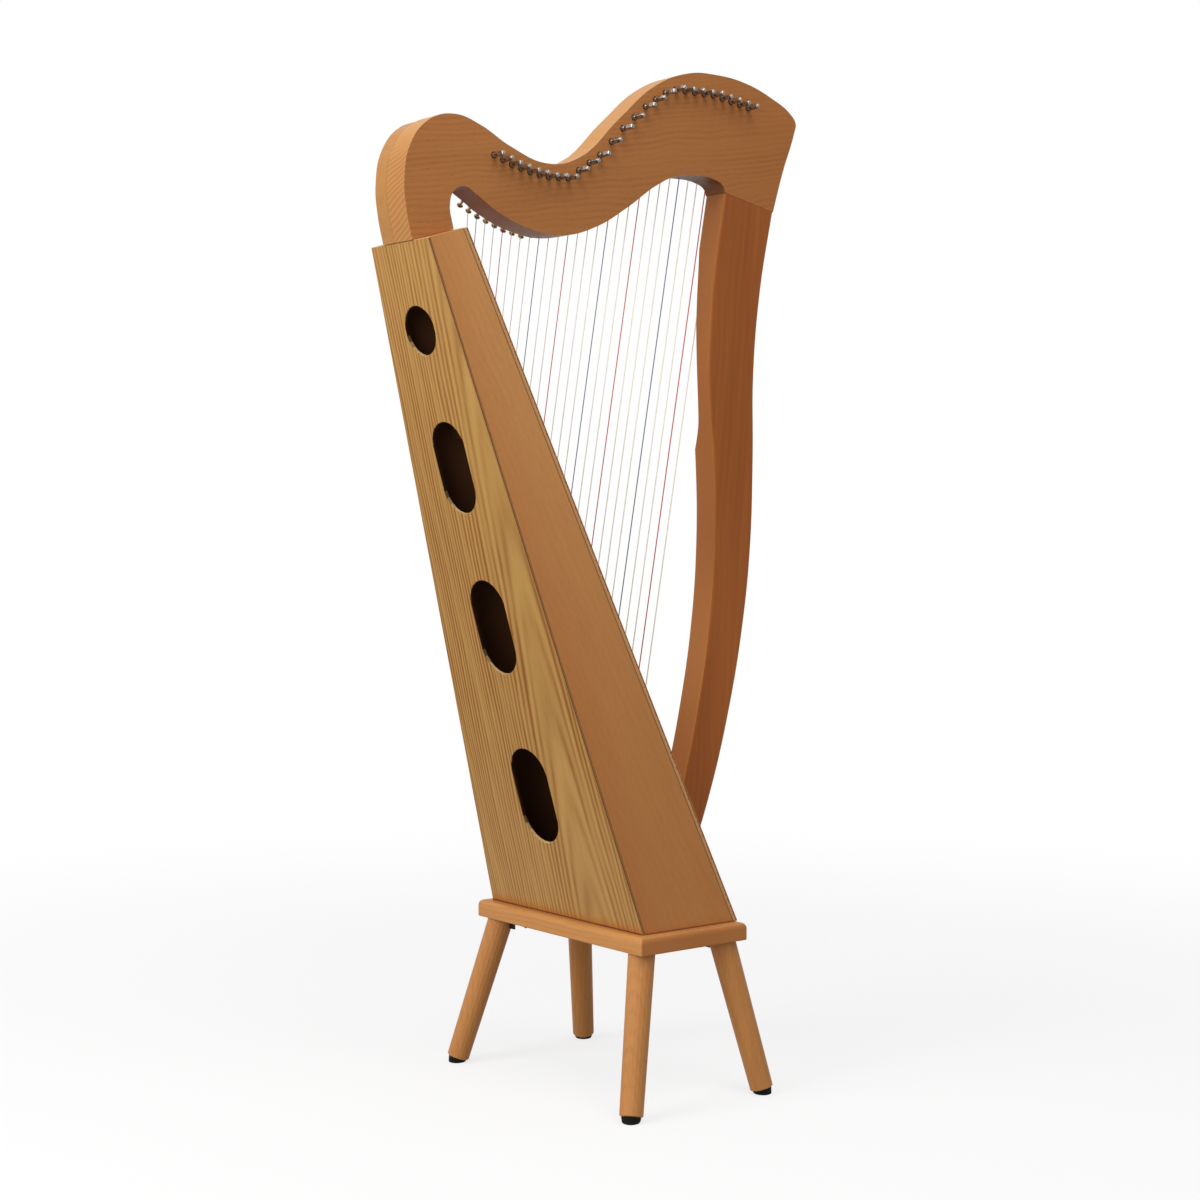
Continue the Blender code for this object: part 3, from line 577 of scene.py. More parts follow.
@dataclass(frozen=True)
class Plain:
    """Rubber or nylon: an even colour with a fine, irregular surface."""

    name: str
    light: Colour
    dark: Colour
    roughness: float
    grain: float = 1500.0
    relief: float = 0.00004
    coat: float = 0.0
    specular: float = 0.5

    def material(self) -> bpy.types.Material:
        """Build the material."""
        shader = Shader(self.name)
        point = shader.place()
        x = shader.along(point, Vector((1.0, 0.0, 0.0)))
        y = shader.along(point, Vector((0.0, 1.0, 0.0)))
        z = shader.along(point, Vector((0.0, 0.0, 1.0)))
        speckle = shader.noise((x * self.grain, y * self.grain, z * self.grain), 3.0)
        cloud = shader.noise((x * 60.0, y * 60.0, z * 60.0), 2.0)
        shader.set(
            base_color=shader.mix(speckle * 0.6 + cloud * 0.4, self.light, self.dark),
            roughness=self.roughness + (speckle - 0.5) * 0.15,
            coat_weight=self.coat,
            specular_ior_level=self.specular,
        )
        shader.bump(speckle, self.relief)
        return shader.material


class Workshop:
    """Makes meshes and puts them on the harp's bodies."""

    def piece(
        self,
        name: str,
        bm: bmesh.types.BMesh,
        material: bpy.types.Material,
        body: str,
        slot: str,
        smooth: float = 40.0,
        matrix: Matrix | None = None,
        replaces: Sequence[str] = (),
    ) -> bpy.types.Object:
        """Turn a mesh into a piece of the harp.

        Args:
            name: The piece's name.
            bm: Its mesh, which is freed.
            material: Its finish.
            body: The body that it rides on.
            slot: Not used.
            smooth: The angle in degrees above which an edge stays sharp.
            matrix: Where the piece stands.
            replaces: The CAD nodes that it stands for.

        Returns:
            The new object.
        """
        bmesh.ops.recalc_face_normals(bm, faces=bm.faces)
        mesh = bpy.data.meshes.new(name)
        bm.to_mesh(mesh)
        bm.free()
        mesh.shade_smooth()
        mesh.set_sharp_from_angle(angle=math.radians(smooth))
        mesh.materials.append(material)
        item = bpy.data.objects.new(name, mesh)
        bpy.context.scene.collection.objects.link(item)
        if matrix is not None:
            item.matrix_world = matrix
        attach(item, body)
        if replaces:
            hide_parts(*replaces)
        return item

    def loft(self, loops: Iterable[Iterable[Vector]]) -> bmesh.types.BMesh:
        """Join rings of points, one after another, into a closed solid."""
        bm = bmesh.new()
        rings = [[bm.verts.new(point) for point in loop] for loop in loops]
        count = len(rings[0])
        for near, far in zip(rings, rings[1:]):
            for index in range(count):
                after = (index + 1) % count
                bm.faces.new((near[index], near[after], far[after], far[index]))
        bm.faces.new(list(reversed(rings[0])))
        bm.faces.new(rings[-1])
        return bm

    def turned(self, profile: Sequence[tuple[float, float]], sides: int = 24) -> bmesh.types.BMesh:
        """Turn (radius, height) pairs about Z."""
        loops = []
        for radius, height in profile:
            loops.append([
                Vector((radius * math.cos(angle), radius * math.sin(angle), height))
                for angle in (math.tau * side / sides for side in range(sides))
            ])
        return self.loft(loops)

    def wire(self, points: Sequence[Vector], radius: float, sides: int = 10) -> bmesh.types.BMesh:
        """A round wire along points, with its rings carried on without twisting."""
        loops = []
        normal = None
        last = len(points) - 1
        for index, point in enumerate(points):
            direction = (points[min(index + 1, last)] - points[max(index - 1, 0)]).normalized()
            if normal is None:
                normal = direction.orthogonal().normalized()
            normal = (normal - direction * normal.dot(direction)).normalized()
            other = direction.cross(normal)
            loops.append([
                point + (normal * math.cos(angle) + other * math.sin(angle)) * radius
                for angle in (math.tau * side / sides for side in range(sides))
            ])
        return self.loft(loops)

    def aimed(self, start: Vector, direction: Vector) -> Matrix:
        """A frame at a point, with +Z along a direction."""
        return Matrix.Translation(start) @ direction.to_track_quat("Z", "Y").to_matrix().to_4x4()


@dataclass
class Finishes:
    """The harp's materials, each made once."""

    box_lean: float
    front_lean: float
    made: dict[str, bpy.types.Material] = field(default_factory=dict)

    def __post_init__(self) -> None:
        """Make every finish."""
        up_back = (-math.sin(self.box_lean), 0.0, math.cos(self.box_lean))
        up_front = (-math.sin(self.front_lean), 0.0, math.cos(self.front_lean))
        back_out = (-math.cos(self.box_lean), 0.0, -math.sin(self.box_lean))
        front_out = (math.cos(self.front_lean), 0.0, math.sin(self.front_lean))
        low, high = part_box("back_panel")
        back_top = high.z
        back_face = Vector(back_out).dot(Vector((high.x, 0.0, low.z))) + 0.0040
        low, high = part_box("soundboard")
        front_face = Vector(front_out).dot(Vector((high.x, 0.0, low.z)))
        # the colour after each ply table is painted light on edges that face up
        back_plies = Layers(back_out, back_face, 0.004, (
            (0.00, srgb(168, 122, 72)), (0.34, srgb(168, 122, 72)), (0.42, srgb(74, 44, 22)),
            (0.60, srgb(74, 44, 22)), (0.68, srgb(166, 116, 70)), (1.00, srgb(166, 116, 70)),
        ), srgb(214, 176, 120), hole_half_width=0.034, shaded_hole_wall=srgb(50, 28, 14))
        front_plies = Layers(front_out, front_face, 0.0065, (
            (0.00, srgb(148, 82, 38)), (0.30, srgb(146, 80, 38)), (0.40, srgb(198, 150, 100)),
            (0.72, srgb(194, 144, 94)), (0.84, srgb(192, 142, 90)), (1.00, srgb(192, 142, 90)),
        ), srgb(206, 160, 108), 0.6)
        back_in = tuple(-part for part in back_out)
        front_in = tuple(-part for part in front_out)
        up = (0.0, 0.0, 1.0)
        seat = low.z
        # painted shade where the box stands on the seat: a darker warm band 12 mm high, and a dark contact line at
        # the seat itself
        seat_shade_band = Blush(srgb(176, 98, 46), up, seat, 0.012, 0.55, 0.2)
        seat_contact_shadow = Blush(srgb(84, 40, 20), up, seat, 0.0026, 0.9, 0.0)
        down = (0.0, 0.0, -1.0)
        back_tones = (
            Blush(srgb(214, 170, 100), down, -back_top, 0.30, 0.16, 0.5),
            Blush(srgb(226, 186, 124), up, seat, 0.26, 0.12, 0.5),
            seat_shade_band, seat_contact_shadow,
        )
        side_tones = (
            Blush(srgb(182, 112, 60), back_in, -back_face, 0.050, 0.4),
            Blush(srgb(164, 98, 48), up, seat, 0.80, 0.50, 0.4),
            # painted shade: a darker warm band and a dark contact line where the side stands on the seat
            Blush(srgb(176, 98, 46), up, seat, 0.008, 0.30, 0.2),
            Blush(srgb(100, 52, 26), up, seat, 0.0026, 0.6, 0.0),
        )
        # painted shade: the box's inner faces are darker, as little light gets inside
        inner_shade_tone = srgb(120, 84, 58)
        foot = Vector((high.x, 0.0, low.z))
        arches = (foot.x - 0.139, -0.0625, foot.z)
        rear = (-1.0, 0.0, 0.0)
        neck_light_shade_and_figure = (
            # painted light: faces turned up are lighter, as if lit from above
            Facing(srgb(200, 148, 86), up, 0.6, 0.2),
            # painted light: the neck's rear end, turned to the lamps, is lighter
            Facing(srgb(190, 136, 74), rear, 0.7, towards=rear, reach=(0.17, 0.21)),
            Facing(srgb(146, 92, 46), rear, 0.5, towards=down, reach=(-1.08, -1.02),
                   ripple=0.0055, ripple_across=(0.0, 0.48, 1.0)),
            # painted shade: faces turned down are darker
            Facing(srgb(140, 76, 20), down, 0.85, 0.3),
            # painted shade: the arch's inner end by the pillar is darker, as in the neck's shadow
            Facing(srgb(112, 66, 32), (-0.7, 0.0, -0.7), 0.9, 0.4, towards=(1.0, 0.0, 0.0), reach=(0.04, 0.12)),
        )
        neck_tip = Blush(srgb(160, 90, 36), rear, -0.28, 0.30, 0.30)
        pillar_light_and_shade = (
            # painted light: the pillar's rear faces are lighter, as where the key lamp falls
            Facing(srgb(226, 152, 88), rear, 0.74, 0.3),
            # painted shade: the rear faces darken from the middle up towards the neck's arch
            Facing(srgb(167, 99, 47), rear, 0.80, 0.3, reach=(0.45, 0.66)),
            Facing(srgb(165, 103, 53), rear, 0.75, 0.3, reach=(0.70, 0.90)),
        )
        woods = [
            Wood("neck_beech", srgb(192, 128, 72), srgb(144, 86, 44), (1.0, 0.0, 0.18), (0.0, -0.20, 0.85),
                 ring=0.0048, line_share=0.20, sharpness=1.5, wander=1.3, streak_share=0.18, fibre_share=0.14,
                 blushes=(neck_tip,), facings=neck_light_shade_and_figure),
            Wood("pillar_beech", srgb(175, 101, 46), srgb(130, 66, 25), (0.08, 0.0, 1.0), (0.36, -0.22, 0.0),
                 ring=0.0070, line_share=0.12, sharpness=1.4, wander=0.9, streak_share=0.16, fibre_share=0.12,
                 fleck_share=0.12, cloud_share=0.32, band_share=0.28, facings=pillar_light_and_shade),
            Wood("shoulder_beech", srgb(184, 131, 70), srgb(146, 95, 48), (0.15, 0.0, 1.0), (-0.45, 0.02, 0.0),
                 ring=0.0060, line_share=0.16, wander=0.5, streak_share=0.16),
            ArchedVeneer("back_ash", srgb(195, 154, 83), srgb(138, 82, 25), up_back, arches,
                         ring=0.0044, line_share=0.84, sharpness=1.5, wander_length=0.30,
                         fleck_share=0.08, fibre_share=0.18, streak_share=0.14, cloud_share=0.14,
                         second_share=0.16, layers=back_plies, blushes=back_tones),
            Wood("soundboard_spruce", srgb(214, 170, 112), srgb(178, 128, 74), up_front, (0.6, 0.6, 0.0),
                 ring=0.0022, line_share=0.30, wander=0.3, layers=front_plies, blushes=(seat_contact_shadow,),
                 facings=(Facing(inner_shade_tone, front_in),)),
            Wood("stool_beech", srgb(206, 145, 83), srgb(162, 105, 56), (0.0, 1.0, 0.0), (0.10, 0.0, 0.02),
                 ring=0.0040, line_share=0.20, wander=0.6,
                 facings=(Facing(srgb(172, 102, 52), (0.0, -1.0, 0.0), 0.6, 0.4),)),
            Wood("leg_beech", srgb(198, 137, 78), srgb(158, 102, 55), (0.0, 0.0, 1.0), (0.30, 0.02, 0.0),
                 ring=0.0055, line_share=0.16, wander=0.3),
            # painted shade: the inner blocks, braces, rib and dowels are darkened as if in the box's shade
            Wood("inner_birch_shaded", srgb(126, 90, 62), srgb(92, 64, 44), up_front, (0.5, 0.1, 0.0),
                 ring=0.0050, line_share=0.2, roughness=0.7),
            Wood("rib_beech", srgb(206, 146, 92), srgb(160, 104, 60), up_front, (0.5, 0.1, 0.0),
                 ring=0.0040, line_share=0.2),
        ]
        for side, inwards in (("right", 1.0), ("left", -1.0)):
            woods.append(
                Wood(f"side_beech_{side}", srgb(211, 153, 93), srgb(171, 109, 57), up_front, (0.30, 0.0, 0.0),
                     ring=0.0080, line_share=0.10, wander=0.6, fleck_share=0.25, streak_share=0.16,
                     cloud_share=0.16, band_share=0.12, band_width=0.018, blushes=side_tones,
                     facings=(Facing(inner_shade_tone, (0.0, inwards, 0.0)),)),
            )
        metals = (
            Metal("chrome", srgb(178, 170, 160), srgb(72, 66, 60), 0.19, 0.85),
            Metal("bronze", srgb(214, 192, 150), srgb(104, 82, 56), 0.24, 0.80),
            Metal("brass", srgb(206, 168, 98), srgb(150, 112, 60), 0.28),
            Metal("black_zinc", srgb(44, 44, 46), srgb(22, 22, 24), 0.42, 0.6),
            Metal("bushing_steel", srgb(52, 46, 42), srgb(26, 22, 20), 0.40, 0.8),
        )
        plains = (
            Plain("foot_rubber", srgb(16, 15, 13), srgb(9, 9, 8), 0.80, specular=0.15),
            Plain("nylon_clear", srgb(254, 248, 234), srgb(246, 236, 214), 0.30, coat=0.2),
            Plain("nylon_red", srgb(216, 52, 44), srgb(190, 36, 30), 0.32, coat=0.2),
            Plain("nylon_blue", srgb(108, 108, 134), srgb(80, 80, 106), 0.32, coat=0.2),
        )
        for finish in (*woods, *metals, *plains):
            self.made[finish.name] = finish.material()

    def __getitem__(self, name: str) -> bpy.types.Material:
        """The finish with this name."""
        return self.made[name]


def dress(node: str, material: bpy.types.Material) -> None:
    """Give a CAD node its finish."""
    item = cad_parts[node]
    item.data.materials.clear()
    item.data.materials.append(material)
    item.data.polygons.foreach_set("material_index", [0] * len(item.data.polygons))
    log.info("dressed %s with %s", node, material.name)


@dataclass
class SoundBox:
    """The tapered box: veneered back, two sides, soundboard and what is inside."""

    finishes: Finishes

    def build(self) -> None:
        """Dress the box's boards."""
        dress("back_panel", self.finishes["back_ash"])
        dress("soundboard", self.finishes["soundboard_spruce"])
        for side in ("side_left", "side_right"):
            dress(side, self.finishes[side.replace("side", "side_beech")])
        dress("top_block", self.finishes["shoulder_beech"])
        for node in ("bottom_block", "brace_lower", "brace_middle", "brace_upper", "inner_string_rib"):
            dress(node, self.finishes["inner_birch_shaded"])


@dataclass
class Body:
    """The neck, its shoulder block, the pillar and the dowels between them."""

    finishes: Finishes

    def build(self) -> None:
        """Dress the neck, the shoulder and the pillar."""
        dress("neck", self.finishes["neck_beech"])
        dress("shoulder_block", self.finishes["shoulder_beech"])
        dress("pillar", self.finishes["pillar_beech"])
        for node in ("dowel_inner", "dowel_outer"):
            dress(node, self.finishes["inner_birch_shaded"])


@dataclass
class Stool:
    """The plate, four legs beside their steel mounts, and rubber feet.

    One screw isn't driven home: its head stands out from the mount.
    """

    shop: Workshop
    finishes: Finishes
    screw_head: float = 0.0034
    screws_at: tuple[float, float] = (0.007, 0.019)
    loose_screw: tuple[Corner, int] = (Corner.REAR_LEFT, 1)
    flange_thickness: float = 0.0020

    def build(self) -> None:
        """Dress the stool and add the mounts' screws."""
        dress("stool_seat", self.finishes["stool_beech"])
        for corner in Corner:
            dress("leg_" + corner.label, self.finishes["leg_beech"])
            dress("leg_mount_" + corner.label, self.finishes["black_zinc"])
            dress("foot_" + corner.label, self.finishes["foot_rubber"])
            self._screws(corner)

    def _screws(self, corner: Corner) -> None:
        """Put two screw heads along the middle of one mount's flange."""
        low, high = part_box("leg_mount_" + corner.label)
        head = self.screw_head
        tall = (
            (head, -0.0002), (head, 0.0020), (head * 0.88, 0.0028), (head * 0.70, 0.0036),
            (head * 0.46, 0.0046), (head * 0.24, 0.0051), (0.0003, 0.0052),
        )
        flat = (
            (head, -0.0002), (head, 0.0004), (head * 0.92, 0.0011), (head * 0.7, 0.0017),
            (head * 0.35, 0.0020), (0.0006, 0.0012),
        )
        _, _, y_sign = corner.value
        inner_end = low.y if y_sign > 0 else high.y
        for number, distance in enumerate(self.screws_at, 1):
            profile = tall if (corner, number) == self.loose_screw else flat
            spot = Vector(((low.x + high.x) / 2, inner_end + y_sign * distance, high.z - self.flange_thickness))
            self.shop.piece(
                f"mount_screw_{corner.label}_{number}", self.shop.turned(profile, 16),
                self.finishes["black_zinc"], "frame", "black_steel",
                matrix=self.shop.aimed(spot, Vector((0.0, 0.0, -1.0))),
            )


@dataclass
class Strings:
    """The strings, their rib, eyelets, bridge pins and tuning pins."""

    shop: Workshop
    finishes: Finishes
    front_lean: float
    first: int = 2
    middle: int = 15
    last: int = 28
    lean: float = 0.1970
    crossing_height: float = 0.85
    crossings: tuple[float, float, float] = (-0.0299, 0.1743, 0.0067)
    plane_y: float = 0.0145
    rib_thickness: float = 0.004
    thinnest: float = 0.00040
    thickest: float = 0.00070
    pin_tilt: float = math.radians(40)
    shaft: float = 0.0018
    head: float = 0.0037
    groove: float = 0.0013
    pin_radius: float = 0.0031
    coil_start: float = 0.0036
    coil_turns: float = 3.0
    head_turn: float = math.radians(137.5)

    def __post_init__(self) -> None:
        """Read the faces that the strings stand on from the frame."""
        low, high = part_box("soundboard")
        self.board_x = high.x
        self.board_z = low.z
        low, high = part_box("pillar")
        self.right_face = low.y
        self.left_face = high.y

    def build(self) -> None:
        """Build every string and what holds it."""
        self._rib()
        self._bridge_pin(1, replaces=("bridge_pin_unstrung",))
        for number in range(self.first, self.last + 1):
            self._string(number)
            self._bridge_pin(number)
            self._eyelet(number)
            self._tuning_pin(number)
        log.info("built %d strings with their pins", self.last - self.first + 1)

    def radius(self, number: int) -> float:
        """A string's radius, which grows towards the bass."""
        share = (number - self.first) / (self.last - self.first)
        return self.thinnest + share * (self.thickest - self.thinnest)

    def outward(self) -> Vector:
        """The soundboard's normal."""
        return Vector((math.cos(self.front_lean), 0.0, math.sin(self.front_lean)))

    def crossing(self, number: int) -> tuple[float, float]:
        """X of a string at the crossing height, and how far it leans, X over Z."""
        share = (number - self.middle) / (self.last - self.middle)
        start, half_span, spread = self.crossings
        return start + half_span * share + spread * share * share, self.lean

    def foot(self, number: int, rise: float) -> Vector:
        """Where a string leaves the rib, at a height above the soundboard."""
        across, lean = self.crossing(number)
        slope = -math.tan(self.front_lean)
        value = self.board_x - slope * self.board_z + rise / math.cos(self.front_lean)
        height = (value - across + lean * self.crossing_height) / (lean - slope)
        return Vector((value + slope * height, 0.0, height))

    def bridge(self, number: int) -> Vector:
        """Where a string passes the groove of its bridge pin."""
        rows = ((1, 0.9965), (3, 0.9860), (6, 0.9740), (8, 0.9695), (10, 0.9735), (12, 0.9850),
                (16, 1.0300), (20, 1.0700), (24, 1.0850), (28, 1.0850))
        height = float(np.interp(number, [row[0] for row in rows], [row[1] for row in rows]))
        across, lean = self.crossing(number)
        return Vector((across + lean * (height - self.crossing_height), self.plane_y, height))

    def tuning_centre(self, number: int) -> Vector:
        """The middle of a string's tuning pin, read from the frame."""
        low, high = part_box(f"tuning_pin_{number - 1:02d}")
        return (low + high) / 2

    def _rib(self) -> None:
        """The long strip that the strings come through, with its edges rounded."""
        outward = self.outward()
        up = Vector((-math.sin(self.front_lean), 0.0, math.cos(self.front_lean)))
        corner = Vector((self.board_x, 0.0, self.board_z)) + outward * 0.0003
        start = 0.262 - self.board_z
        loops = []
        stations = ((start, 0.0150), (start + 0.0012, 0.0156), (0.40, 0.0120), (0.7955, 0.0098), (0.7967, 0.0092))
        for along, half in stations:
            centre = corner + up * (along / 1.0)
            loop = []
            rounding = 0.0012
            section = (
                (-half, 0.0), (-half, self.rib_thickness - rounding),
                (-half + rounding * 0.3, self.rib_thickness - rounding * 0.3),
                (-half + rounding, self.rib_thickness), (half - rounding, self.rib_thickness),
                (half - rounding * 0.3, self.rib_thickness - rounding * 0.3),
                (half, self.rib_thickness - rounding), (half, 0.0),
            )
            for across, rise in section:
                loop.append(centre + Vector((0.0, across, 0.0)) + outward * rise)
            loops.append(loop)
        self.shop.piece("string_rib", self.shop.loft(loops), self.finishes["rib_beech"], "frame",
                        "beech_light", smooth=30, replaces=("strings",))

    def _bridge_pin(self, number: int, replaces: Sequence[str] = ()) -> None:
        """A turned brass pin with its groove just behind a domed head."""
        groove_at = self.bridge(number)
        outwards = Vector((0.0, math.cos(self.pin_tilt), -math.sin(self.pin_tilt)))
        reach = (groove_at.y - self.left_face) / outwards.y
        entry = groove_at - outwards * reach
        profile = [
            (self.shaft, -0.0040), (self.shaft, reach - 0.0020), (self.shaft * 0.93, reach - 0.0014),
            (self.groove * 1.08, reach - 0.0006), (self.groove, reach), (self.groove * 1.08, reach + 0.0006),
            (self.shaft, reach + 0.0013), (self.head * 0.80, reach + 0.0016), (self.head, reach + 0.0021),
            (self.head, reach + 0.0029), (self.head * 0.93, reach + 0.0036), (self.head * 0.74, reach + 0.0041),
            (self.head * 0.40, reach + 0.0044), (0.0004, reach + 0.0045),
        ]
        self.shop.piece(f"bridge_pin_{number:02d}", self.shop.turned(profile, 20), self.finishes["bronze"],
                        "frame", "brass_pin", matrix=self.shop.aimed(entry, outwards), replaces=replaces)

    def _eyelet(self, number: int) -> None:
        """A brass eyelet round the hole that a string comes out of."""
        spot = self.foot(number, 0.0003 + self.rib_thickness)
        hole = self.radius(number) + 0.0004
        profile = (
            (hole, -0.0006), (hole + 0.0016, -0.0002), (hole + 0.0019, 0.0002), (hole + 0.0015, 0.0007),
            (hole + 0.0007, 0.0009), (hole, 0.0005), (hole * 0.9, -0.0004),
        )
        self.shop.piece(f"eyelet_{number:02d}", self.shop.turned(profile, 18), self.finishes["brass"],
                        "frame", "brass_pin", matrix=self.shop.aimed(spot, self.outward()))

    def _string(self, number: int) -> None:
        """A string from its eyelet, round its bridge pin and up to its tuning pin, and its winding."""
        radius = self.radius(number)
        foot = self.foot(number, 0.0010)
        around = self.groove + radius
        groove_at = self.bridge(number)
        centre = self.tuning_centre(number)
        centre.y = self.left_face + self.coil_start
        rising = (centre - groove_at).normalized()
        tangent = centre + Vector((rising.z, 0.0, -rising.x)).normalized() * (self.pin_radius + radius)
        below = (groove_at - foot).normalized()
        above = (tangent - groove_at).normalized()
        points = [foot, foot.lerp(groove_at, 0.5)]
        for share in (0.0, 0.25, 0.5, 0.75, 1.0):
            heading = below.lerp(above, share).normalized()
            side = Vector((-heading.z, 0.0, heading.x)).normalized()
            points.append(groove_at + side * around + heading * (share - 0.5) * 0.0012)
        points[1] = foot.lerp(points[2], 0.5)
        points.append(points[-1].lerp(tangent, 0.5))
        points.append(tangent)
        finish = {
            StringColour.C_RED: "nylon_red",
            StringColour.F_BLUE: "nylon_blue",
            StringColour.CLEAR: "nylon_clear",
        }[StringColour.of(number)]
        self.shop.piece(f"string_{number:02d}", self.shop.wire(points, radius, 8), self.finishes[finish],
                        "frame", "string_nylon", smooth=70)
        self._winding(number, centre, tangent, radius, finish)

    def _winding(self, number: int, centre: Vector, tangent: Vector, radius: float, finish: str) -> None:
        """The turns of a string on its tuning pin, climbing outwards a string's width a turn."""
        arm = tangent - centre
        begin = math.atan2(arm.z, arm.x)
        steps = int(self.coil_turns * 20)
        points = []
        for step in range(steps + 1):
            angle = begin + math.tau * self.coil_turns * step / steps
            climb = 2.04 * radius * self.coil_turns * step / steps
            reach = self.pin_radius + radius
            points.append(centre + Vector((reach * math.cos(angle), climb, reach * math.sin(angle))))
        self.shop.piece(f"string_winding_{number:02d}", self.shop.wire(points, radius, 8),
                        self.finishes[finish], f"pin_{number - 1:02d}", "string_nylon", smooth=70)

    def _tuning_pin(self, number: int) -> None:
        """A nickel pin: square tapered head, dark collar, round shank with a rounded end."""
        node = f"tuning_pin_{number - 1:02d}"
        low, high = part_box(node)
        centre = (low + high) / 2
        head_end = low.y
        face = self.right_face
        stations = (
            (head_end, 0.0015, 1.0), (head_end + 0.0004, 0.0020, 1.0), (head_end + 0.0010, 0.0023, 1.0),
            (face - 0.0070, 0.0026, 1.0), (face - 0.0052, 0.0026, 0.8), (face - 0.0044, 0.0029, 0.0),
            (face - 0.0040, self.pin_radius, 0.0), (self.left_face + 0.0100, self.pin_radius, 0.0),
            (high.y - 0.0012, self.pin_radius - 0.0002, 0.0), (high.y - 0.0003, self.pin_radius - 0.0007, 0.0),
            (high.y, self.pin_radius - 0.0014, 0.0),
        )
        loops = []
        sides = 24
        for y, size, squareness in stations:
            loop = []
            for side in range(sides):
                angle = math.tau * (side + 0.5) / sides
                square = min(size / max(abs(math.cos(angle)), abs(math.sin(angle))), size * 1.32)
                reach = size + (square - size) * squareness
                turned = angle + number * self.head_turn
                loop.append(Vector((reach * math.cos(turned), y - face, reach * math.sin(turned))))
            loops.append(loop)
        place = Matrix.Translation((centre.x, face, centre.z))
        self.shop.piece(f"pin_metal_{number - 1:02d}", self.shop.loft(loops), self.finishes["chrome"],
                        f"pin_{number - 1:02d}", "pin_steel", smooth=32, matrix=place, replaces=(node,))
        collar = ((0.0032, -0.0002), (0.0036, -0.0001), (0.0038, 0.0005), (0.0036, 0.0010), (0.0032, 0.0012))
        spot = Vector((centre.x, face, centre.z))
        self.shop.piece(f"pin_collar_{number - 1:02d}", self.shop.turned(collar, 24),
                        self.finishes["bushing_steel"], "frame", "black_steel",
                        matrix=self.shop.aimed(spot, Vector((0.0, -1.0, 0.0))))


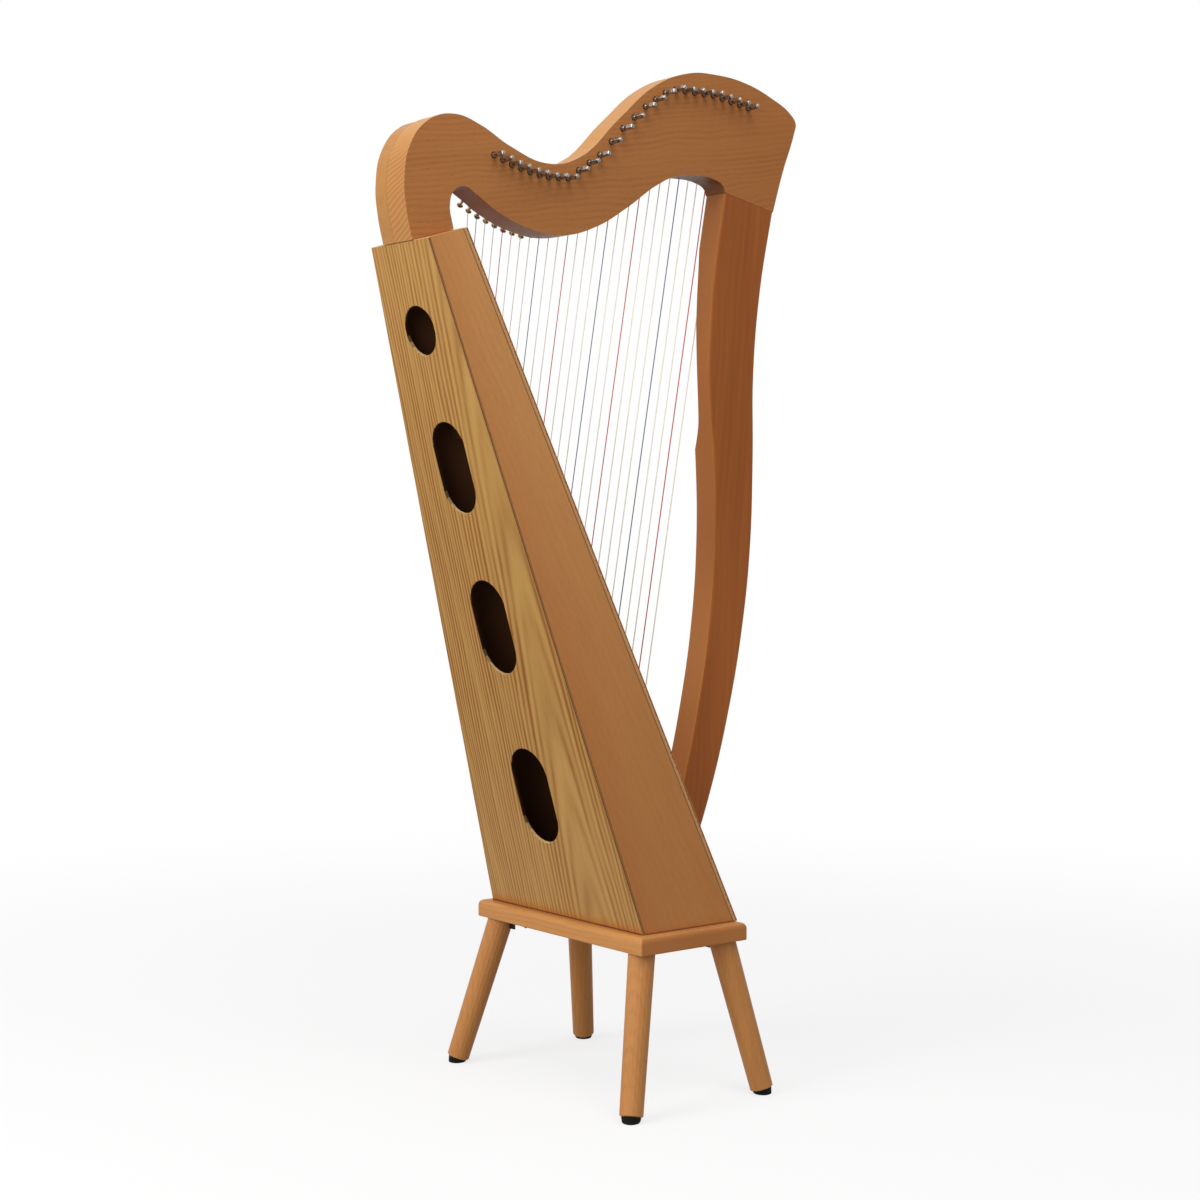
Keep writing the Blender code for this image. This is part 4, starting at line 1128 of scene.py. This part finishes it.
@dataclass
class Studio:
    """A pale floor, soft lights, and the camera where the photograph was taken."""

    camera_place: tuple[float, float, float] = (-1.5122, -1.9267, 0.6472)
    camera_turn: tuple[float, float, float] = (87.889, 0.0, -38.163)
    lens: float = 63.74
    floor_size: float = 30.0
    ambient: float = 0.40
    shadow_depth: float = 0.26
    shadow_reach: tuple[float, float] = (0.5, 2.2)

    def build(self) -> None:
        """Set up the floor, the world, the lamps and the camera."""
        self._floor()
        self._world()
        self._lamp("key", (-2.5, 0.1, 2.1), 1.4, 43.0)
        self._lamp("top", (-0.4, -1.5, 3.0), 1.6, 31.0)
        self._lamp("fill", (-2.6, -1.7, 1.0), 1.4, 20.0)
        self._lamp("low", (-2.3, 1.3, 0.5), 1.2, 9.0)
        self._camera()
        bpy.context.scene.view_settings.view_transform = "Standard"

    def _seen(self, shader: Shader) -> Value:
        """1 for camera, glossy and transmitted rays, and 0 for the light itself."""
        path = shader.node("ShaderNodeLightPath")
        camera, glossy, through = (
            Value(shader, path.outputs[name]) for name in ("Is Camera Ray", "Is Glossy Ray", "Is Transmission Ray")
        )
        return shader.math("MAXIMUM", shader.math("MAXIMUM", camera, glossy), through)

    def _world(self) -> None:
        """A white world to look at, and a gentler one to light with."""
        world = bpy.data.worlds.new("studio")
        bpy.context.scene.world = world
        shader = Shader.of_world(world)
        strength = self._seen(shader) * (1.0 - self.ambient) + self.ambient
        background = shader.tree.nodes["Background"]
        shader.feed(background.inputs["Strength"], strength)
        shader.feed(background.inputs["Color"], (1.0, 1.0, 1.0))

    def _floor(self) -> None:
        """A white floor that keeps the harp's soft shadow, and is plain white far away."""
        bm = bmesh.new()
        bmesh.ops.create_grid(bm, x_segments=1, y_segments=1, size=self.floor_size / 2)
        mesh = bpy.data.meshes.new("floor")
        bm.to_mesh(mesh)
        bm.free()
        floor = bpy.data.objects.new("floor", mesh)
        bpy.context.scene.collection.objects.link(floor)
        shader = Shader("floor_white")
        seen = self._seen(shader)
        point = shader.place()
        x = shader.along(point, Vector((1.0, 0.0, 0.0)))
        y = shader.along(point, Vector((0.0, 1.0, 0.0)))
        far = (x * x + y * y).root().between(*self.shadow_reach)
        shader.set(base_color=shader.mix(seen, (0.30, 0.30, 0.30), (0.90, 0.90, 0.90)), roughness=0.9)
        white = shader.node("ShaderNodeEmission", None, {"Color": (1.0, 1.0, 1.0), "Strength": 1.0})
        share = seen * (far * self.shadow_depth + (1.0 - self.shadow_depth))
        output = shader.tree.nodes["Material Output"]
        mixed = shader.node(
            "ShaderNodeMixShader",
            None,
            {0: share, 1: shader.surface.outputs[0], 2: white.outputs[0]},
        )
        shader.feed(output.inputs["Surface"], mixed.outputs[0])
        mesh.materials.append(shader.material)

    def _lamp(self, name: str, place: tuple[float, float, float], size: float, power: float) -> None:
        """A square soft light that points at the middle of the harp."""
        data = bpy.data.lights.new(name, "AREA")
        data.size = size
        data.energy = power
        lamp = bpy.data.objects.new(name, data)
        bpy.context.scene.collection.objects.link(lamp)
        lamp.location = place
        towards = Vector((0.0, 0.0, 0.62)) - Vector(place)
        lamp.rotation_euler = towards.to_track_quat("-Z", "Y").to_euler()

    def _camera(self) -> None:
        """The camera at the photograph's viewing angle."""
        data = bpy.data.cameras.new("camera")
        data.lens = self.lens
        data.sensor_width = 36.0
        camera = bpy.data.objects.new("camera", data)
        bpy.context.scene.collection.objects.link(camera)
        camera.location = self.camera_place
        camera.rotation_euler = [math.radians(turn) for turn in self.camera_turn]
        bpy.context.scene.camera = camera


def main() -> None:
    """Build the harp's sub-assemblies in order, and then the studio."""
    logging.basicConfig(level=logging.INFO, format="%(name)s: %(message)s")
    shop = Workshop()
    box_lean = math.radians(16.45)
    front_lean = math.radians(21.90)
    finishes = Finishes(box_lean, front_lean)
    SoundBox(finishes).build()
    Body(finishes).build()
    Stool(shop, finishes).build()
    Strings(shop, finishes, front_lean).build()
    Studio().build()


if __name__ == "__main__":
    main()
